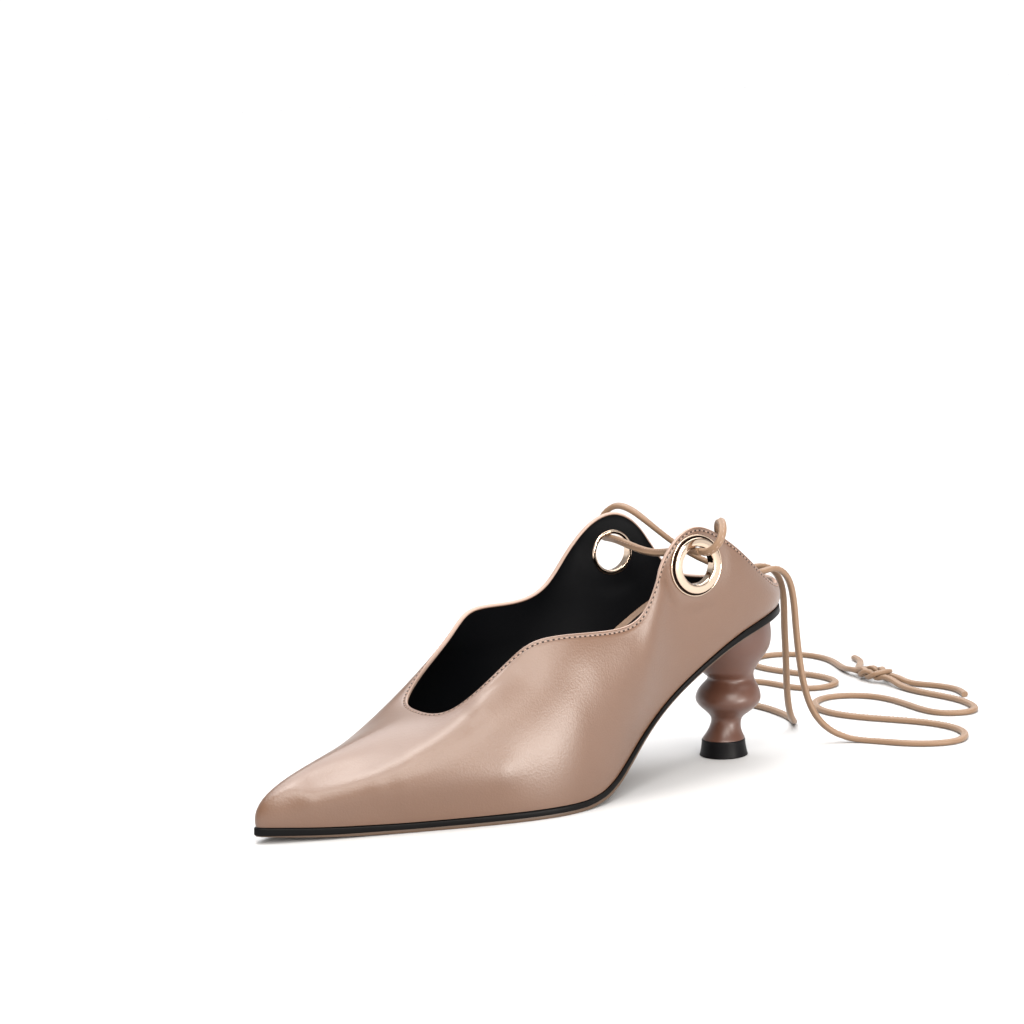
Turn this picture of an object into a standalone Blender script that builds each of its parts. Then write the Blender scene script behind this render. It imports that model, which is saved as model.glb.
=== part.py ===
"""Women's lace-up heel, left shoe: pointed toe, wavy topline, eyeletted ears, turned heel.

The toe points along -Y, the outer (lateral) side of the foot is +X, and up is +Z.
The origin is the centre of the heel tip, on the floor. All sizes are in metres.
The last is worked out from a few sizes: its length, its half width at the ball, the
height of the heel seat and the height of the ears. The tables below hold shares of them.
"""
import math

import bmesh
import bpy
import numpy as np
from mathutils import Matrix, Vector

# Sizes of the last
LENGTH = 0.2345            # feather line, from the back of the seat to the toe tip
BALL_HALF = 0.0400         # feather line, centre line to the outer side of the ball
SEAT_BACK = 0.0230         # from the middle of the heel tip back to the seat's back edge
SEAT_RISE = 0.0578         # seat's back edge above the forefoot
EAR_RISE = 0.0575          # top of an ear above the sole below it

# Sizes of the pieces
WALL = 0.0017              # upper leather with its lining
GAP = 0.0003               # clearance between pieces that touch
TREAD_THICKNESS = 0.0036   # sole at the forefoot
EDGE_PROUD = 0.0007        # sole edge outside the feather line
EDGE_TUCK = 0.0016         # how far the tread's rim lies inside the sole edge
INSOLE_THICKNESS = 0.0018
INSOLE_MARGIN = 0.0004     # from the insole's edge to the lining
TIP_HEIGHT = 0.0067
TIP_BOTTOM_RADIUS = 0.0097
TIP_TOP_RADIUS = 0.0087
HEEL_RADIUS = 0.0190       # top bulb of the heel
EYELET_HOLE_RADIUS = 0.0073
EYELET_BARREL = 0.0006     # wall of the barrel
EYELET_FLANGE = 0.0048     # flange beyond the hole, on the outside
EYELET_WASHER = 0.0018     # washer beyond the hole, on the lining
EYELET_HEIGHT = 0.0018     # flange's crown above the leather
EYELET_DROP = {"lateral": 0.0142, "medial": 0.0157}   # below the top of the ear
PRESSED_FLAT = 0.0128      # leather pressed flat around an eyelet, to this radius
PRESSED_EDGE = 0.0190      # and free of it from this radius on
LACE_RADIUS = 0.0015
KNOT_SIZE = (0.0170, 0.0115, 0.0066)
KNOT_EDGE = 0.0022

# Numbers of faces
COLUMNS = 88
WALL_ROWS = 8
TOE_GATHER = 0.5           # how much closer together the columns are at the toe
STATIONS = 52
HEEL_SIDES = 36
HEEL_ROWS = 24



def table(names, *rows):
    """Rows of numbers as one array for each named column."""
    return {name: np.array(column) for name, column in zip(names, zip(*rows))}


# Top of the sole, from the back of the seat (along 0) to the toe tip (along 1)
PROFILE = table(
    ("along", "rise"),
    (0.000, 1.000), (0.055, 0.972), (0.115, 0.907), (0.158, 0.832),
    (0.200, 0.737), (0.243, 0.626), (0.294, 0.479), (0.345, 0.315),
    (0.388, 0.173), (0.422, 0.078), (0.456, 0.024), (0.499, 0.002),
    (0.540, 0.000), (0.760, 0.000), (0.866, 0.010), (1.002, 0.042),
)

# Sole edge: height of the black band and of the tread below it, as shares of the tread's
# full thickness
EDGE = table(
    ("along", "band", "tread"),
    (0.00, 0.83, 0.08), (0.10, 0.74, 0.10), (0.20, 0.50, 0.14), (0.32, 0.42, 0.18),
    (0.44, 0.56, 0.34), (0.53, 0.61, 0.39), (0.78, 0.61, 0.39), (0.90, 0.72, 0.24),
    (1.00, 0.80, 0.10),
)

# Feather line seen from above, from the back to the toe tip
LATERAL_OUTLINE = table(
    ("along", "across"),
    (0.000, 0.000), (0.019, 0.338), (0.068, 0.562), (0.132, 0.633), (0.200, 0.637),
    (0.269, 0.625), (0.333, 0.675), (0.392, 0.787), (0.456, 0.925), (0.516, 1.000),
    (0.576, 0.980), (0.640, 0.887), (0.708, 0.750), (0.780, 0.588), (0.853, 0.425),
    (0.921, 0.263), (0.974, 0.115), (1.000, 0.000),
)
MEDIAL_OUTLINE = table(
    ("along", "across"),
    (0.015, 0.312), (0.055, 0.525), (0.111, 0.608), (0.175, 0.600), (0.243, 0.575),
    (0.311, 0.583), (0.380, 0.637), (0.448, 0.738), (0.512, 0.845), (0.576, 0.895),
    (0.644, 0.875), (0.712, 0.787), (0.780, 0.650), (0.849, 0.475), (0.917, 0.287),
    (0.972, 0.120),
)

# Ribs of the upper. Each rises from the feather line (foot) to the topline (top) as one
# cubic: it leaves the foot by belly and rise, and comes to the top from lean and drop.
# foot, top and lean_along are shares of LENGTH, across, belly and lean_across of
# BALL_HALF, and above, rise and drop of EAR_RISE. above counts from the sole.
RIB_COLUMNS = ("foot", "top", "across", "above", "belly", "rise",
               "lean_across", "lean_along", "drop")
LATERAL_RIBS = table(
    RIB_COLUMNS,
    (0.000, -0.006, 0.000, 0.147, 0.040, 0.045, 0.000, -0.005, 0.052),
    (0.034, 0.032, 0.412, 0.164, 0.045, 0.049, 0.035, -0.003, 0.052),
    (0.072, 0.068, 0.550, 0.263, 0.055, 0.087, 0.040, -0.002, 0.087),
    (0.119, 0.115, 0.660, 0.466, 0.065, 0.139, 0.037, 0.000, 0.139),
    (0.183, 0.173, 0.715, 0.754, 0.087, 0.226, 0.050, 0.000, 0.243),
    (0.236, 0.231, 0.700, 1.000, 0.113, 0.313, 0.062, 0.000, 0.313),
    (0.294, 0.286, 0.730, 1.030, 0.125, 0.348, 0.075, 0.000, 0.313),
    (0.337, 0.320, 0.775, 0.928, 0.125, 0.348, 0.100, 0.000, 0.278),
    (0.375, 0.354, 0.800, 0.850, 0.100, 0.348, 0.125, 0.000, 0.243),
    (0.435, 0.414, 0.800, 0.975, 0.062, 0.348, 0.150, 0.000, 0.278),
    (0.499, 0.482, 0.750, 1.073, 0.050, 0.348, 0.200, 0.000, 0.278),
    (0.554, 0.537, 0.650, 1.061, 0.050, 0.348, 0.250, 0.000, 0.278),
    (0.635, 0.580, 0.562, 0.960, 0.062, 0.348, 0.275, 0.021, 0.209),
    (0.725, 0.629, 0.512, 0.807, 0.062, 0.313, 0.275, 0.051, 0.157),
    (0.819, 0.674, 0.400, 0.668, 0.062, 0.278, 0.200, 0.102, 0.157),
    (0.925, 0.697, 0.212, 0.623, 0.060, 0.235, 0.075, 0.154, 0.209),
    (1.000, 0.701, 0.000, 0.620, 0.075, 0.252, 0.000, 0.188, 0.217),
)
MEDIAL_RIBS = table(
    RIB_COLUMNS,
    (0.034, 0.032, 0.412, 0.153, 0.045, 0.049, 0.035, -0.003, 0.052),
    (0.081, 0.072, 0.550, 0.185, 0.055, 0.087, 0.040, -0.002, 0.087),
    (0.132, 0.126, 0.615, 0.322, 0.065, 0.139, 0.037, 0.000, 0.139),
    (0.179, 0.171, 0.675, 0.677, 0.087, 0.226, 0.050, 0.000, 0.243),
    (0.236, 0.230, 0.705, 0.991, 0.113, 0.313, 0.062, 0.000, 0.313),
    (0.294, 0.290, 0.740, 1.064, 0.125, 0.348, 0.075, 0.000, 0.313),
    (0.337, 0.330, 0.762, 1.023, 0.125, 0.348, 0.100, 0.000, 0.278),
    (0.375, 0.365, 0.775, 0.973, 0.100, 0.348, 0.125, 0.000, 0.243),
    (0.435, 0.414, 0.790, 1.036, 0.062, 0.348, 0.150, 0.000, 0.278),
    (0.499, 0.478, 0.760, 1.124, 0.050, 0.348, 0.200, 0.000, 0.278),
    (0.554, 0.529, 0.685, 1.124, 0.050, 0.313, 0.225, 0.000, 0.278),
    (0.635, 0.576, 0.597, 1.002, 0.055, 0.261, 0.225, 0.021, 0.243),
    (0.725, 0.629, 0.537, 0.828, 0.055, 0.209, 0.212, 0.051, 0.209),
    (0.819, 0.674, 0.420, 0.686, 0.055, 0.200, 0.150, 0.102, 0.209),
    (0.925, 0.697, 0.225, 0.630, 0.060, 0.209, 0.062, 0.154, 0.226),
)

# Turned heel, from the tip up: height as a share of the seat's rise above the tip,
# radius and how far the round sits back, as shares of HEEL_RADIUS
HEEL_PROFILE = table(
    ("height", "radius", "back"),
    (0.000, 0.445, 0.005), (0.045, 0.370, 0.032), (0.083, 0.333, 0.055),
    (0.125, 0.319, 0.085), (0.153, 0.339, 0.105), (0.195, 0.464, 0.145),
    (0.252, 0.639, 0.155), (0.294, 0.688, 0.150), (0.336, 0.669, 0.160),
    (0.379, 0.609, 0.182), (0.421, 0.520, 0.220), (0.455, 0.490, 0.228),
    (0.485, 0.535, 0.180), (0.533, 0.620, 0.155), (0.590, 0.728, 0.163),
    (0.660, 0.861, 0.165), (0.730, 0.938, 0.142), (0.810, 0.965, 0.112),
    (0.887, 0.962, 0.082), (1.004, 0.945, 0.047),
)

# Free ties: from the eyelets over the ears, down inside, over the back rim and along
# the floor to the knot. Points in millimetres, chosen by hand.
LATERAL_TIE = (
    (32.3, -31.6, 90.5), (36.9, -31.4, 91.0), (40.4, -29.4, 94.2), (39.8, -26.6, 98.9),
    (35.6, -24.0, 101.5), (30.2, -21.4, 100.4), (25.2, -18.2, 96.6), (20.5, -13.0, 90.9),
    (16.0, -5.8, 84.3), (11.5, 2.7, 78.0), (7.6, 11.6, 73.9), (4.8, 19.2, 73.2),
    (3.3, 25.8, 73.0), (2.6, 31.6, 69.2), (2.5, 34.6, 61.5), (3.0, 35.4, 50.0),
    (4.0, 36.0, 36.0), (5.8, 37.4, 22.0), (9.0, 40.8, 10.5), (14.0, 47.0, 3.6),
    (21.0, 54.0, 1.6), (32.0, 60.5, 1.6), (43.0, 69.5, 1.6), (47.0, 82.0, 1.6),
    (38.5, 93.0, 1.6), (22.0, 95.5, 1.6), (6.0, 89.5, 1.6), (-10.0, 80.5, 1.6),
    (-27.0, 75.5, 1.6), (-43.0, 80.0, 1.6), (-51.0, 93.5, 1.6), (-43.5, 106.5, 1.6),
    (-27.0, 110.5, 1.6), (-9.5, 108.5, 1.6), (5.5, 111.0, 1.6), (10.0, 121.5, 1.6),
    (-1.0, 130.0, 1.6), (-18.0, 131.5, 1.6), (-35.0, 129.5, 1.7), (-48.0, 130.2, 2.3),
    (-56.0, 131.4, 3.1), (-59.6, 131.6, 3.2),
)
MEDIAL_TIE = (
    (-32.4, -32.2, 88.5), (-36.8, -31.6, 89.1), (-40.2, -29.6, 92.3), (-39.6, -27.0, 97.0),
    (-35.2, -24.6, 100.0), (-29.8, -22.2, 99.2), (-24.7, -18.8, 95.4), (-19.7, -13.0, 89.0),
    (-15.0, -5.3, 82.0), (-11.0, 3.7, 76.4), (-7.9, 12.2, 73.6), (-5.4, 19.3, 73.2),
    (-4.1, 25.8, 73.0), (-3.5, 31.4, 69.0), (-3.7, 34.4, 61.4), (-4.5, 35.4, 49.0),
    (-5.9, 36.8, 35.0), (-8.4, 38.9, 20.5), (-12.4, 43.0, 9.5), (-18.5, 49.4, 3.4),
    (-27.0, 55.5, 1.6), (-41.0, 59.5, 1.6), (-56.0, 60.5, 1.6), (-71.0, 58.5, 1.6),
    (-86.0, 57.5, 1.6), (-100.0, 63.5, 1.6), (-106.0, 77.0, 1.6), (-98.0, 89.5, 1.6),
    (-83.0, 93.5, 1.6), (-70.0, 100.0, 1.6), (-70.5, 112.5, 1.6), (-84.0, 117.5, 1.6),
    (-100.0, 114.0, 1.6), (-116.0, 110.0, 1.6), (-132.0, 113.0, 1.6), (-140.0, 126.0, 1.6),
    (-133.0, 139.5, 1.6), (-118.0, 143.5, 1.6), (-103.0, 139.5, 1.7), (-90.0, 134.0, 2.3),
    (-81.0, 131.8, 3.1), (-77.4, 131.6, 3.2),
)
KNOT_PLACE = (-68.5, 133.8, 3.5)
LATERAL_TAIL = (
    (-59.6, 136.0, 3.2), (-56.0, 136.1, 3.0), (-50.0, 137.6, 2.0), (-42.0, 141.5, 1.6),
    (-33.0, 144.5, 1.6), (-24.0, 144.0, 1.6), (-16.0, 140.5, 1.6),
)
MEDIAL_TAIL = (
    (-77.4, 136.0, 3.2), (-81.0, 136.2, 3.0), (-87.0, 139.2, 2.0), (-94.0, 145.5, 1.6),
    (-101.5, 151.5, 1.6), (-109.5, 154.5, 1.6),
)
MILLIMETRE = 0.001
ROUTE_STEP = 0.0075        # between a tie's points


# Curves and tables

def natural_cubic(knots, values, at, closed=False):
    """Read a smooth curve through the values: natural at its ends, or closed."""
    knots = np.asarray(knots, float)
    values = np.asarray(values, float)
    count = len(knots)
    step = np.diff(knots)
    slope = np.diff(values, axis=0) / step[:, None]
    system = np.zeros((count, count))
    right = np.zeros(values.shape)
    for i in range(1, count - 1):
        system[i, i - 1:i + 2] = step[i - 1], 2 * (step[i - 1] + step[i]), step[i]
        right[i] = 6 * (slope[i] - slope[i - 1])
    system[0, 0] = system[-1, -1] = 1
    if closed:
        system[0, :2] = 2 * (step[0] + step[-1]), step[0]
        system[0, -2] = step[-1]
        right[0] = 6 * (slope[0] - slope[-1])
        system[-1, 0] = -1
    bend = np.linalg.solve(system, right)
    at = np.asarray(at, float)
    k = np.clip(np.searchsorted(knots, at, side="right") - 1, 0, count - 2)
    a = ((knots[k + 1] - at) / step[k])[:, None]
    b = 1 - a
    square = (step[k] ** 2)[:, None] / 6
    return (a * values[k] + b * values[k + 1]
            + ((a ** 3 - a) * bend[k] + (b ** 3 - b) * bend[k + 1]) * square)


def no_overshoot(knots, values, at):
    """Read a curve through the values that stays level between equal ones."""
    knots = np.asarray(knots, float)
    values = np.asarray(values, float)
    step = np.diff(knots)
    slope = np.diff(values) / step
    tangent = np.zeros(len(knots))
    same_way = slope[:-1] * slope[1:] > 0
    w1 = 2 * step[1:] + step[:-1]
    w2 = step[1:] + 2 * step[:-1]
    with np.errstate(divide="ignore", invalid="ignore"):
        middle = (w1 + w2) / (w1 / slope[:-1] + w2 / slope[1:])
    tangent[1:-1] = np.where(same_way, middle, 0)
    tangent[0], tangent[-1] = slope[0], slope[-1]
    k = np.clip(np.searchsorted(knots, at, side="right") - 1, 0, len(knots) - 2)
    t = np.clip((at - knots[k]) / step[k], 0, 1)
    beyond = np.asarray(at, float) - np.clip(at, knots[0], knots[-1])
    inside = ((1 + 2 * t) * (1 - t) ** 2 * values[k] + t * t * (3 - 2 * t) * values[k + 1]
              + step[k] * t * (1 - t) * ((1 - t) * tangent[k] - t * tangent[k + 1]))
    return inside + beyond * np.where(beyond > 0, tangent[-1], tangent[0])


def chord(points):
    """Running length along the points, from 0."""
    return np.r_[0, np.cumsum(np.linalg.norm(np.diff(points, axis=0), axis=1))]


def unit(vectors):
    """Vectors of length 1."""
    return vectors / np.linalg.norm(vectors, axis=-1, keepdims=True)


# Sole line: the top of the sole seen from the side, and lines parallel to it

SIDE_ALONG = np.linspace(-0.04, 1.04, 700)
SIDE_Y = SEAT_BACK - SIDE_ALONG * LENGTH
SIDE_Z = TREAD_THICKNESS + SEAT_RISE * no_overshoot(PROFILE["along"], PROFILE["rise"], SIDE_ALONG)
SIDE_SLOPE = np.gradient(SIDE_Z, SIDE_Y)
SIDE_NORMAL = unit(np.stack([-SIDE_SLOPE, np.ones_like(SIDE_SLOPE)], axis=1))


def height(y, above=0.0):
    """Height at y of the line that lies `above` the top of the sole, square to it."""
    line_y = (SIDE_Y + SIDE_NORMAL[:, 0] * above)[::-1]
    line_z = (SIDE_Z + SIDE_NORMAL[:, 1] * above)[::-1]
    return np.interp(y, line_y, line_z)


def edge_thickness(y, column):
    """Thickness of the sole's band, or of band and tread together, at y."""
    along = (SEAT_BACK - np.asarray(y)) / LENGTH
    band = no_overshoot(EDGE["along"], EDGE["band"], along)
    tread = no_overshoot(EDGE["along"], EDGE["tread"], along)
    return TREAD_THICKNESS * (band if column == "band" else band + tread)


def underside(y):
    """Height of the sole's lower face at y."""
    line_y = SIDE_Y - SIDE_NORMAL[:, 0] * edge_thickness(SIDE_Y, "tread")
    line_z = SIDE_Z - SIDE_NORMAL[:, 1] * edge_thickness(SIDE_Y, "tread")
    return np.interp(y, line_y[::-1], line_z[::-1])


# Outline: the feather line seen from above, and lines parallel to it

def feather_loop():
    """Closed smooth loop from the back round the lateral side, and its toe's index."""
    lateral, medial = LATERAL_OUTLINE, MEDIAL_OUTLINE
    along = np.r_[lateral["along"], medial["along"][::-1], lateral["along"][0]]
    across = np.r_[lateral["across"], -medial["across"][::-1], lateral["across"][0]]
    points = np.stack([across * BALL_HALF, SEAT_BACK - along * LENGTH], axis=1)
    knots = chord(points)
    loop = natural_cubic(knots, points, np.linspace(0, knots[-1], 2001), closed=True)
    return loop, int(np.argmin(loop[:, 1]))


LOOP, TOE_INDEX = feather_loop()
LOOP_LENGTH = chord(LOOP)
LOOP_TANGENT = unit(np.roll(LOOP[:-1], -1, axis=0) - np.roll(LOOP[:-1], 1, axis=0))
LOOP_TANGENT = np.vstack([LOOP_TANGENT, LOOP_TANGENT[:1]])
LOOP_OUTWARD = np.stack([-LOOP_TANGENT[:, 1], LOOP_TANGENT[:, 0]], axis=1)


def half_outline(side, outward):
    """One half of the outline, back to toe, moved outward by a distance."""
    moved = LOOP + LOOP_OUTWARD * outward
    return moved[:TOE_INDEX + 1] if side > 0 else moved[:TOE_INDEX - 1:-1]


def widths(outward, count):
    """Stations along the outline, close together at its ends, and both sides' x there."""
    lateral = half_outline(1, outward)
    medial = half_outline(-1, outward)
    back, toe = lateral[0, 1], lateral[-1, 1]
    turn = 0.5 - 0.5 * np.cos(np.linspace(0, math.pi, count))
    y = back + (toe - back) * turn
    x_lateral = np.interp(-y, -lateral[:, 1], lateral[:, 0])
    x_medial = np.interp(-y, -medial[:, 1], medial[:, 0])
    return y, x_lateral, x_medial


def outline_at(share):
    """Point and outward direction at a share of the loop: 0 back, 1 toe, 2 back again."""
    toe_length = LOOP_LENGTH[TOE_INDEX]
    at = np.where(share <= 1, share * toe_length,
                  toe_length + (share - 1) * (LOOP_LENGTH[-1] - toe_length))
    parts = [np.interp(at, LOOP_LENGTH, column)
             for column in (*LOOP.T, *LOOP_OUTWARD.T)]
    return np.stack(parts[:2], axis=1), unit(np.stack(parts[2:], axis=1))


def share_of(side, along):
    """Share of the loop at which one side of the outline has come this far along."""
    half = half_outline(side, 0.0)
    run = chord(half)
    share = np.interp(along, (SEAT_BACK - half[:, 1]) / LENGTH, run / run[-1])
    return share if side > 0 else 2 - share


# Upper

def rib_knots():
    """All ribs in order round the loop: shares of their feet, and tops with handles."""
    lateral, medial = LATERAL_RIBS, MEDIAL_RIBS
    share = np.r_[share_of(1, lateral["foot"]), share_of(-1, medial["foot"][::-1]), 2.0]
    share[0] = 0.0
    share[len(lateral["foot"]) - 1] = 1.0
    ribs = {name: np.r_[lateral[name], medial[name][::-1], lateral[name][0]]
            for name in RIB_COLUMNS}
    side = np.r_[np.ones(len(lateral["foot"])), -np.ones(len(medial["foot"])), 1.0]
    top_y = SEAT_BACK - ribs["top"] * LENGTH
    top = np.stack([side * ribs["across"] * BALL_HALF, top_y,
                    height(top_y) + ribs["above"] * EAR_RISE], axis=1)
    handles = np.stack([ribs["belly"] * BALL_HALF, ribs["rise"] * EAR_RISE,
                        side * ribs["lean_across"] * BALL_HALF, -ribs["lean_along"] * LENGTH,
                        -ribs["drop"] * EAR_RISE], axis=1)
    return share, top, handles


def wall_surface(columns, rows):
    """Outer face of the upper, not yet pressed flat: rows from feather line to topline."""
    share, top, handles = rib_knots()
    knots = chord(top) + np.diff(share, prepend=0).cumsum() * LENGTH
    toe_knot = knots[len(LATERAL_RIBS["foot"]) - 1]
    step = np.linspace(0, 1, columns // 2, endpoint=False)
    gather = TOE_GATHER * np.sin(math.pi * step) / math.pi
    at = np.r_[toe_knot * (step + gather),
               toe_knot + (knots[-1] - toe_knot) * (step - gather)]
    foot_share = natural_cubic(knots, share[:, None], at)[:, 0]
    rib = natural_cubic(knots, np.hstack([top, handles]), at, closed=True)
    foot, outward = outline_at(np.clip(foot_share, 0, 2))
    start = np.column_stack([foot, height(foot[:, 1], GAP)])
    end = rib[:, :3]
    leave = start + np.column_stack([outward * rib[:, 3:4], rib[:, 4]])
    arrive = end + rib[:, 5:8]
    u = np.linspace(0, 1, rows)[:, None, None]
    return ((1 - u) ** 3 * start + 3 * u * (1 - u) ** 2 * leave
            + 3 * u ** 2 * (1 - u) * arrive + u ** 3 * end)


def surface_normals(grid):
    """Outward normals of a grid of rows that run round the shoe."""
    around = np.roll(grid, -1, axis=1) - np.roll(grid, 1, axis=1)
    up = np.gradient(grid, axis=0)
    return unit(np.cross(up, around))


def eyelet_places():
    """Centre on the outer face and outward direction of each eyelet."""
    columns, rows = 400, 120
    grid = wall_surface(columns, rows)
    normals = surface_normals(grid)
    places = {}
    for name, half in (("lateral", slice(0, columns // 2)), ("medial", slice(columns // 2, None))):
        column = np.argmax(grid[-1, half, 2]) + half.start
        line = grid[::-1, column]
        row = rows - 1 - int(np.searchsorted(chord(line), EYELET_DROP[name]))
        places[name] = (grid[row, column], normals[row, column])
    return places


EYELETS = eyelet_places()


def upper_faces(columns, rows):
    """Outer and inner face of the upper, pressed flat round the eyelets."""
    grid = wall_surface(columns, rows)
    for centre, outward in EYELETS.values():
        offset = grid - centre
        proud = offset @ outward
        radius = np.linalg.norm(offset - proud[..., None] * outward, axis=-1)
        t = np.clip((PRESSED_EDGE - radius) / (PRESSED_EDGE - PRESSED_FLAT), 0, 1)
        near_side = np.abs(proud) < PRESSED_FLAT
        grid = grid - (t * t * (3 - 2 * t) * proud * near_side)[..., None] * outward
    inner = grid - surface_normals(grid) * WALL
    inner[0, :, 2] = height(inner[0, :, 1], GAP)
    return grid, inner


# Objects

def material(name, colour, roughness, metallic=0.0):
    """A plain Principled material."""
    made = bpy.data.materials.new(name)
    made.use_nodes = True
    shader = made.node_tree.nodes["Principled BSDF"]
    shader.inputs["Base Color"].default_value = (*colour, 1.0)
    shader.inputs["Roughness"].default_value = roughness
    shader.inputs["Metallic"].default_value = metallic
    return made


def place(name, data, look, collection):
    """Link a new object with its material."""
    piece = bpy.data.objects.new(name, data)
    data.materials.append(look)
    collection.objects.link(piece)
    return piece


def mesh_of(name, points, faces):
    """Closed mesh from points and faces, with doubles merged and normals outward."""
    mesh = bpy.data.meshes.new(name)
    work = bmesh.new()
    corners = [work.verts.new(point) for point in points]
    for face in faces:
        work.faces.new([corners[i] for i in face])
    bmesh.ops.remove_doubles(work, verts=work.verts, dist=1e-6)
    bmesh.ops.dissolve_degenerate(work, edges=work.edges, dist=1e-6)
    bmesh.ops.triangulate(work, faces=work.faces)
    bmesh.ops.recalc_face_normals(work, faces=work.faces)
    if work.calc_volume(signed=True) < 0:
        bmesh.ops.reverse_faces(work, faces=work.faces)
    work.to_mesh(mesh)
    work.free()
    mesh.shade_smooth()
    mesh.set_sharp_from_angle(angle=math.radians(40))
    return mesh


def tube_faces(rings, count, wrap):
    """Quads between rings of count points that close on themselves."""
    faces = []
    for i in range(rings if wrap else rings - 1):
        low, high = i * count, (i + 1) % rings * count
        for j in range(count):
            k = (j + 1) % count
            faces.append((low + j, low + k, high + k, high + j))
    return faces


def upper(look, collection, cutters):
    """The hollow upper: outer face, rounded rim, inner face, open below and at the top."""
    outer, inner = upper_faces(COLUMNS, WALL_ROWS)
    rise = unit(outer[-1] - outer[-2]) * WALL
    rim = [outer[-1] * 0.82 + inner[-1] * 0.18 + rise * 0.30,
           outer[-1] * 0.50 + inner[-1] * 0.50 + rise * 0.42,
           outer[-1] * 0.18 + inner[-1] * 0.82 + rise * 0.30]
    rings = np.stack([*outer, *rim, *inner[::-1]])
    mesh = mesh_of("upper", rings.reshape(-1, 3), tube_faces(len(rings), COLUMNS, True))
    piece = place("upper", mesh, look, collection)
    for name, (centre, outward) in EYELETS.items():
        bpy.ops.mesh.primitive_cylinder_add(
            vertices=32, radius=EYELET_HOLE_RADIUS + EYELET_BARREL + GAP, depth=10 * WALL,
            location=centre, rotation=Vector(outward).to_track_quat("Z", "Y").to_euler())
        cutter = bpy.context.active_object
        cutter.name = f"cutter_eyelet_{name}"
        cutter.hide_render = True
        cutter.display_type = "WIRE"
        for home in list(cutter.users_collection):
            home.objects.unlink(cutter)
        cutters.objects.link(cutter)
        cut = piece.modifiers.new(f"hole_{name}", "BOOLEAN")
        cut.operation = "DIFFERENCE"
        cut.solver = "EXACT"
        cut.object = cutter


def plate(name, levels, look, collection):
    """A sheet that follows the sole: levels of (outward, heights at y), top to bottom."""
    rings = []
    for outward, heights in levels:
        y, x_lateral, x_medial = widths(outward, STATIONS)
        y_level, z_level = heights(y)
        lateral = np.column_stack([x_lateral, y_level, z_level])
        medial = np.column_stack([x_medial, y_level, z_level])
        rings.append(np.vstack([lateral, medial[-2:0:-1]]))
    count = len(rings[0])
    faces = tube_faces(len(rings), count, False)
    for base in (0, (len(rings) - 1) * count):
        for i in range(STATIONS - 1):
            other, after = (-i) % count, (-i - 1) % count
            corners = dict.fromkeys((base + i, base + i + 1, base + after, base + other))
            faces.append(tuple(corners))
    return place(name, mesh_of(name, np.vstack(rings), faces), look, collection)


def parallel(above):
    """Stations carried square to the sole line, by a distance or a function of y."""
    def carried(y):
        distance = above(y) if callable(above) else above
        along_normal = [np.interp(y, SIDE_Y[::-1], part[::-1]) for part in SIDE_NORMAL.T]
        return y + along_normal[0] * distance, height(y) + along_normal[1] * distance
    return carried


def outsole(look, collection):
    """The sole: a flat top, the black edge band, and the tread tucked in below it."""
    plate("outsole", (
        (EDGE_PROUD, parallel(0.0)),
        (EDGE_PROUD, parallel(lambda y: -edge_thickness(y, "band"))),
        (EDGE_PROUD - EDGE_TUCK, parallel(lambda y: -edge_thickness(y, "tread"))),
    ), look, collection)


def insole(look, collection):
    """The insole, inside the wall and on the sole."""
    inset = -(WALL + INSOLE_MARGIN)
    plate("insole", (
        (inset, parallel(GAP + INSOLE_THICKNESS)),
        (inset, parallel(GAP)),
    ), look, collection)


def heel(look, collection):
    """The turned heel, its rounds set back one above the other, cut by the sole."""
    turning = np.column_stack([HEEL_PROFILE["radius"], HEEL_PROFILE["back"]]) * HEEL_RADIUS
    base = TIP_HEIGHT + GAP
    span = SEAT_RISE + TREAD_THICKNESS - base
    angle = np.linspace(0, 2 * math.pi, HEEL_SIDES, endpoint=False)
    sine, cosine = np.sin(angle), np.cos(angle)

    def round_at(z):
        share = np.clip((z - base) / span, 0, HEEL_PROFILE["height"][-1])
        return natural_cubic(HEEL_PROFILE["height"], turning, share).T

    top = np.full(HEEL_SIDES, base + span * 0.8)
    for _ in range(40):
        radius, back = round_at(top)
        top = 0.5 * top + 0.5 * (underside(back + radius * sine) - GAP)
    turned = np.linspace(0, 1, HEEL_ROWS)[:, None]
    neck = base + span * 0.5
    low = base + (neck - base) * np.minimum(turned * 2, 1)
    z = low + (top - neck) * np.maximum(turned * 2 - 1, 0)
    rings = []
    for row in z:
        radius, back = round_at(row)
        rings.append(np.column_stack([radius * cosine, back + radius * sine, row]))
    last = rings[-1]
    middle = last.mean(axis=0)
    for share in (0.75, 0.5, 0.25):
        ring = middle + (last - middle) * share
        ring[:, 2] = underside(ring[:, 1]) - GAP
        rings.append(ring)
    points = np.vstack(rings + [[[middle[0], middle[1], underside(middle[1]) - GAP]]])
    points = np.vstack([points, [[0.0, rings[0][:, 1].mean(), base]]])
    faces = tube_faces(len(rings), HEEL_SIDES, False)
    crown, foot = len(points) - 2, len(points) - 1
    start = (len(rings) - 1) * HEEL_SIDES
    for j in range(HEEL_SIDES):
        k = (j + 1) % HEEL_SIDES
        faces.append((start + j, start + k, crown))
        faces.append((k, j, foot))
    place("heel", mesh_of("heel", points, faces), look, collection)


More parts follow.
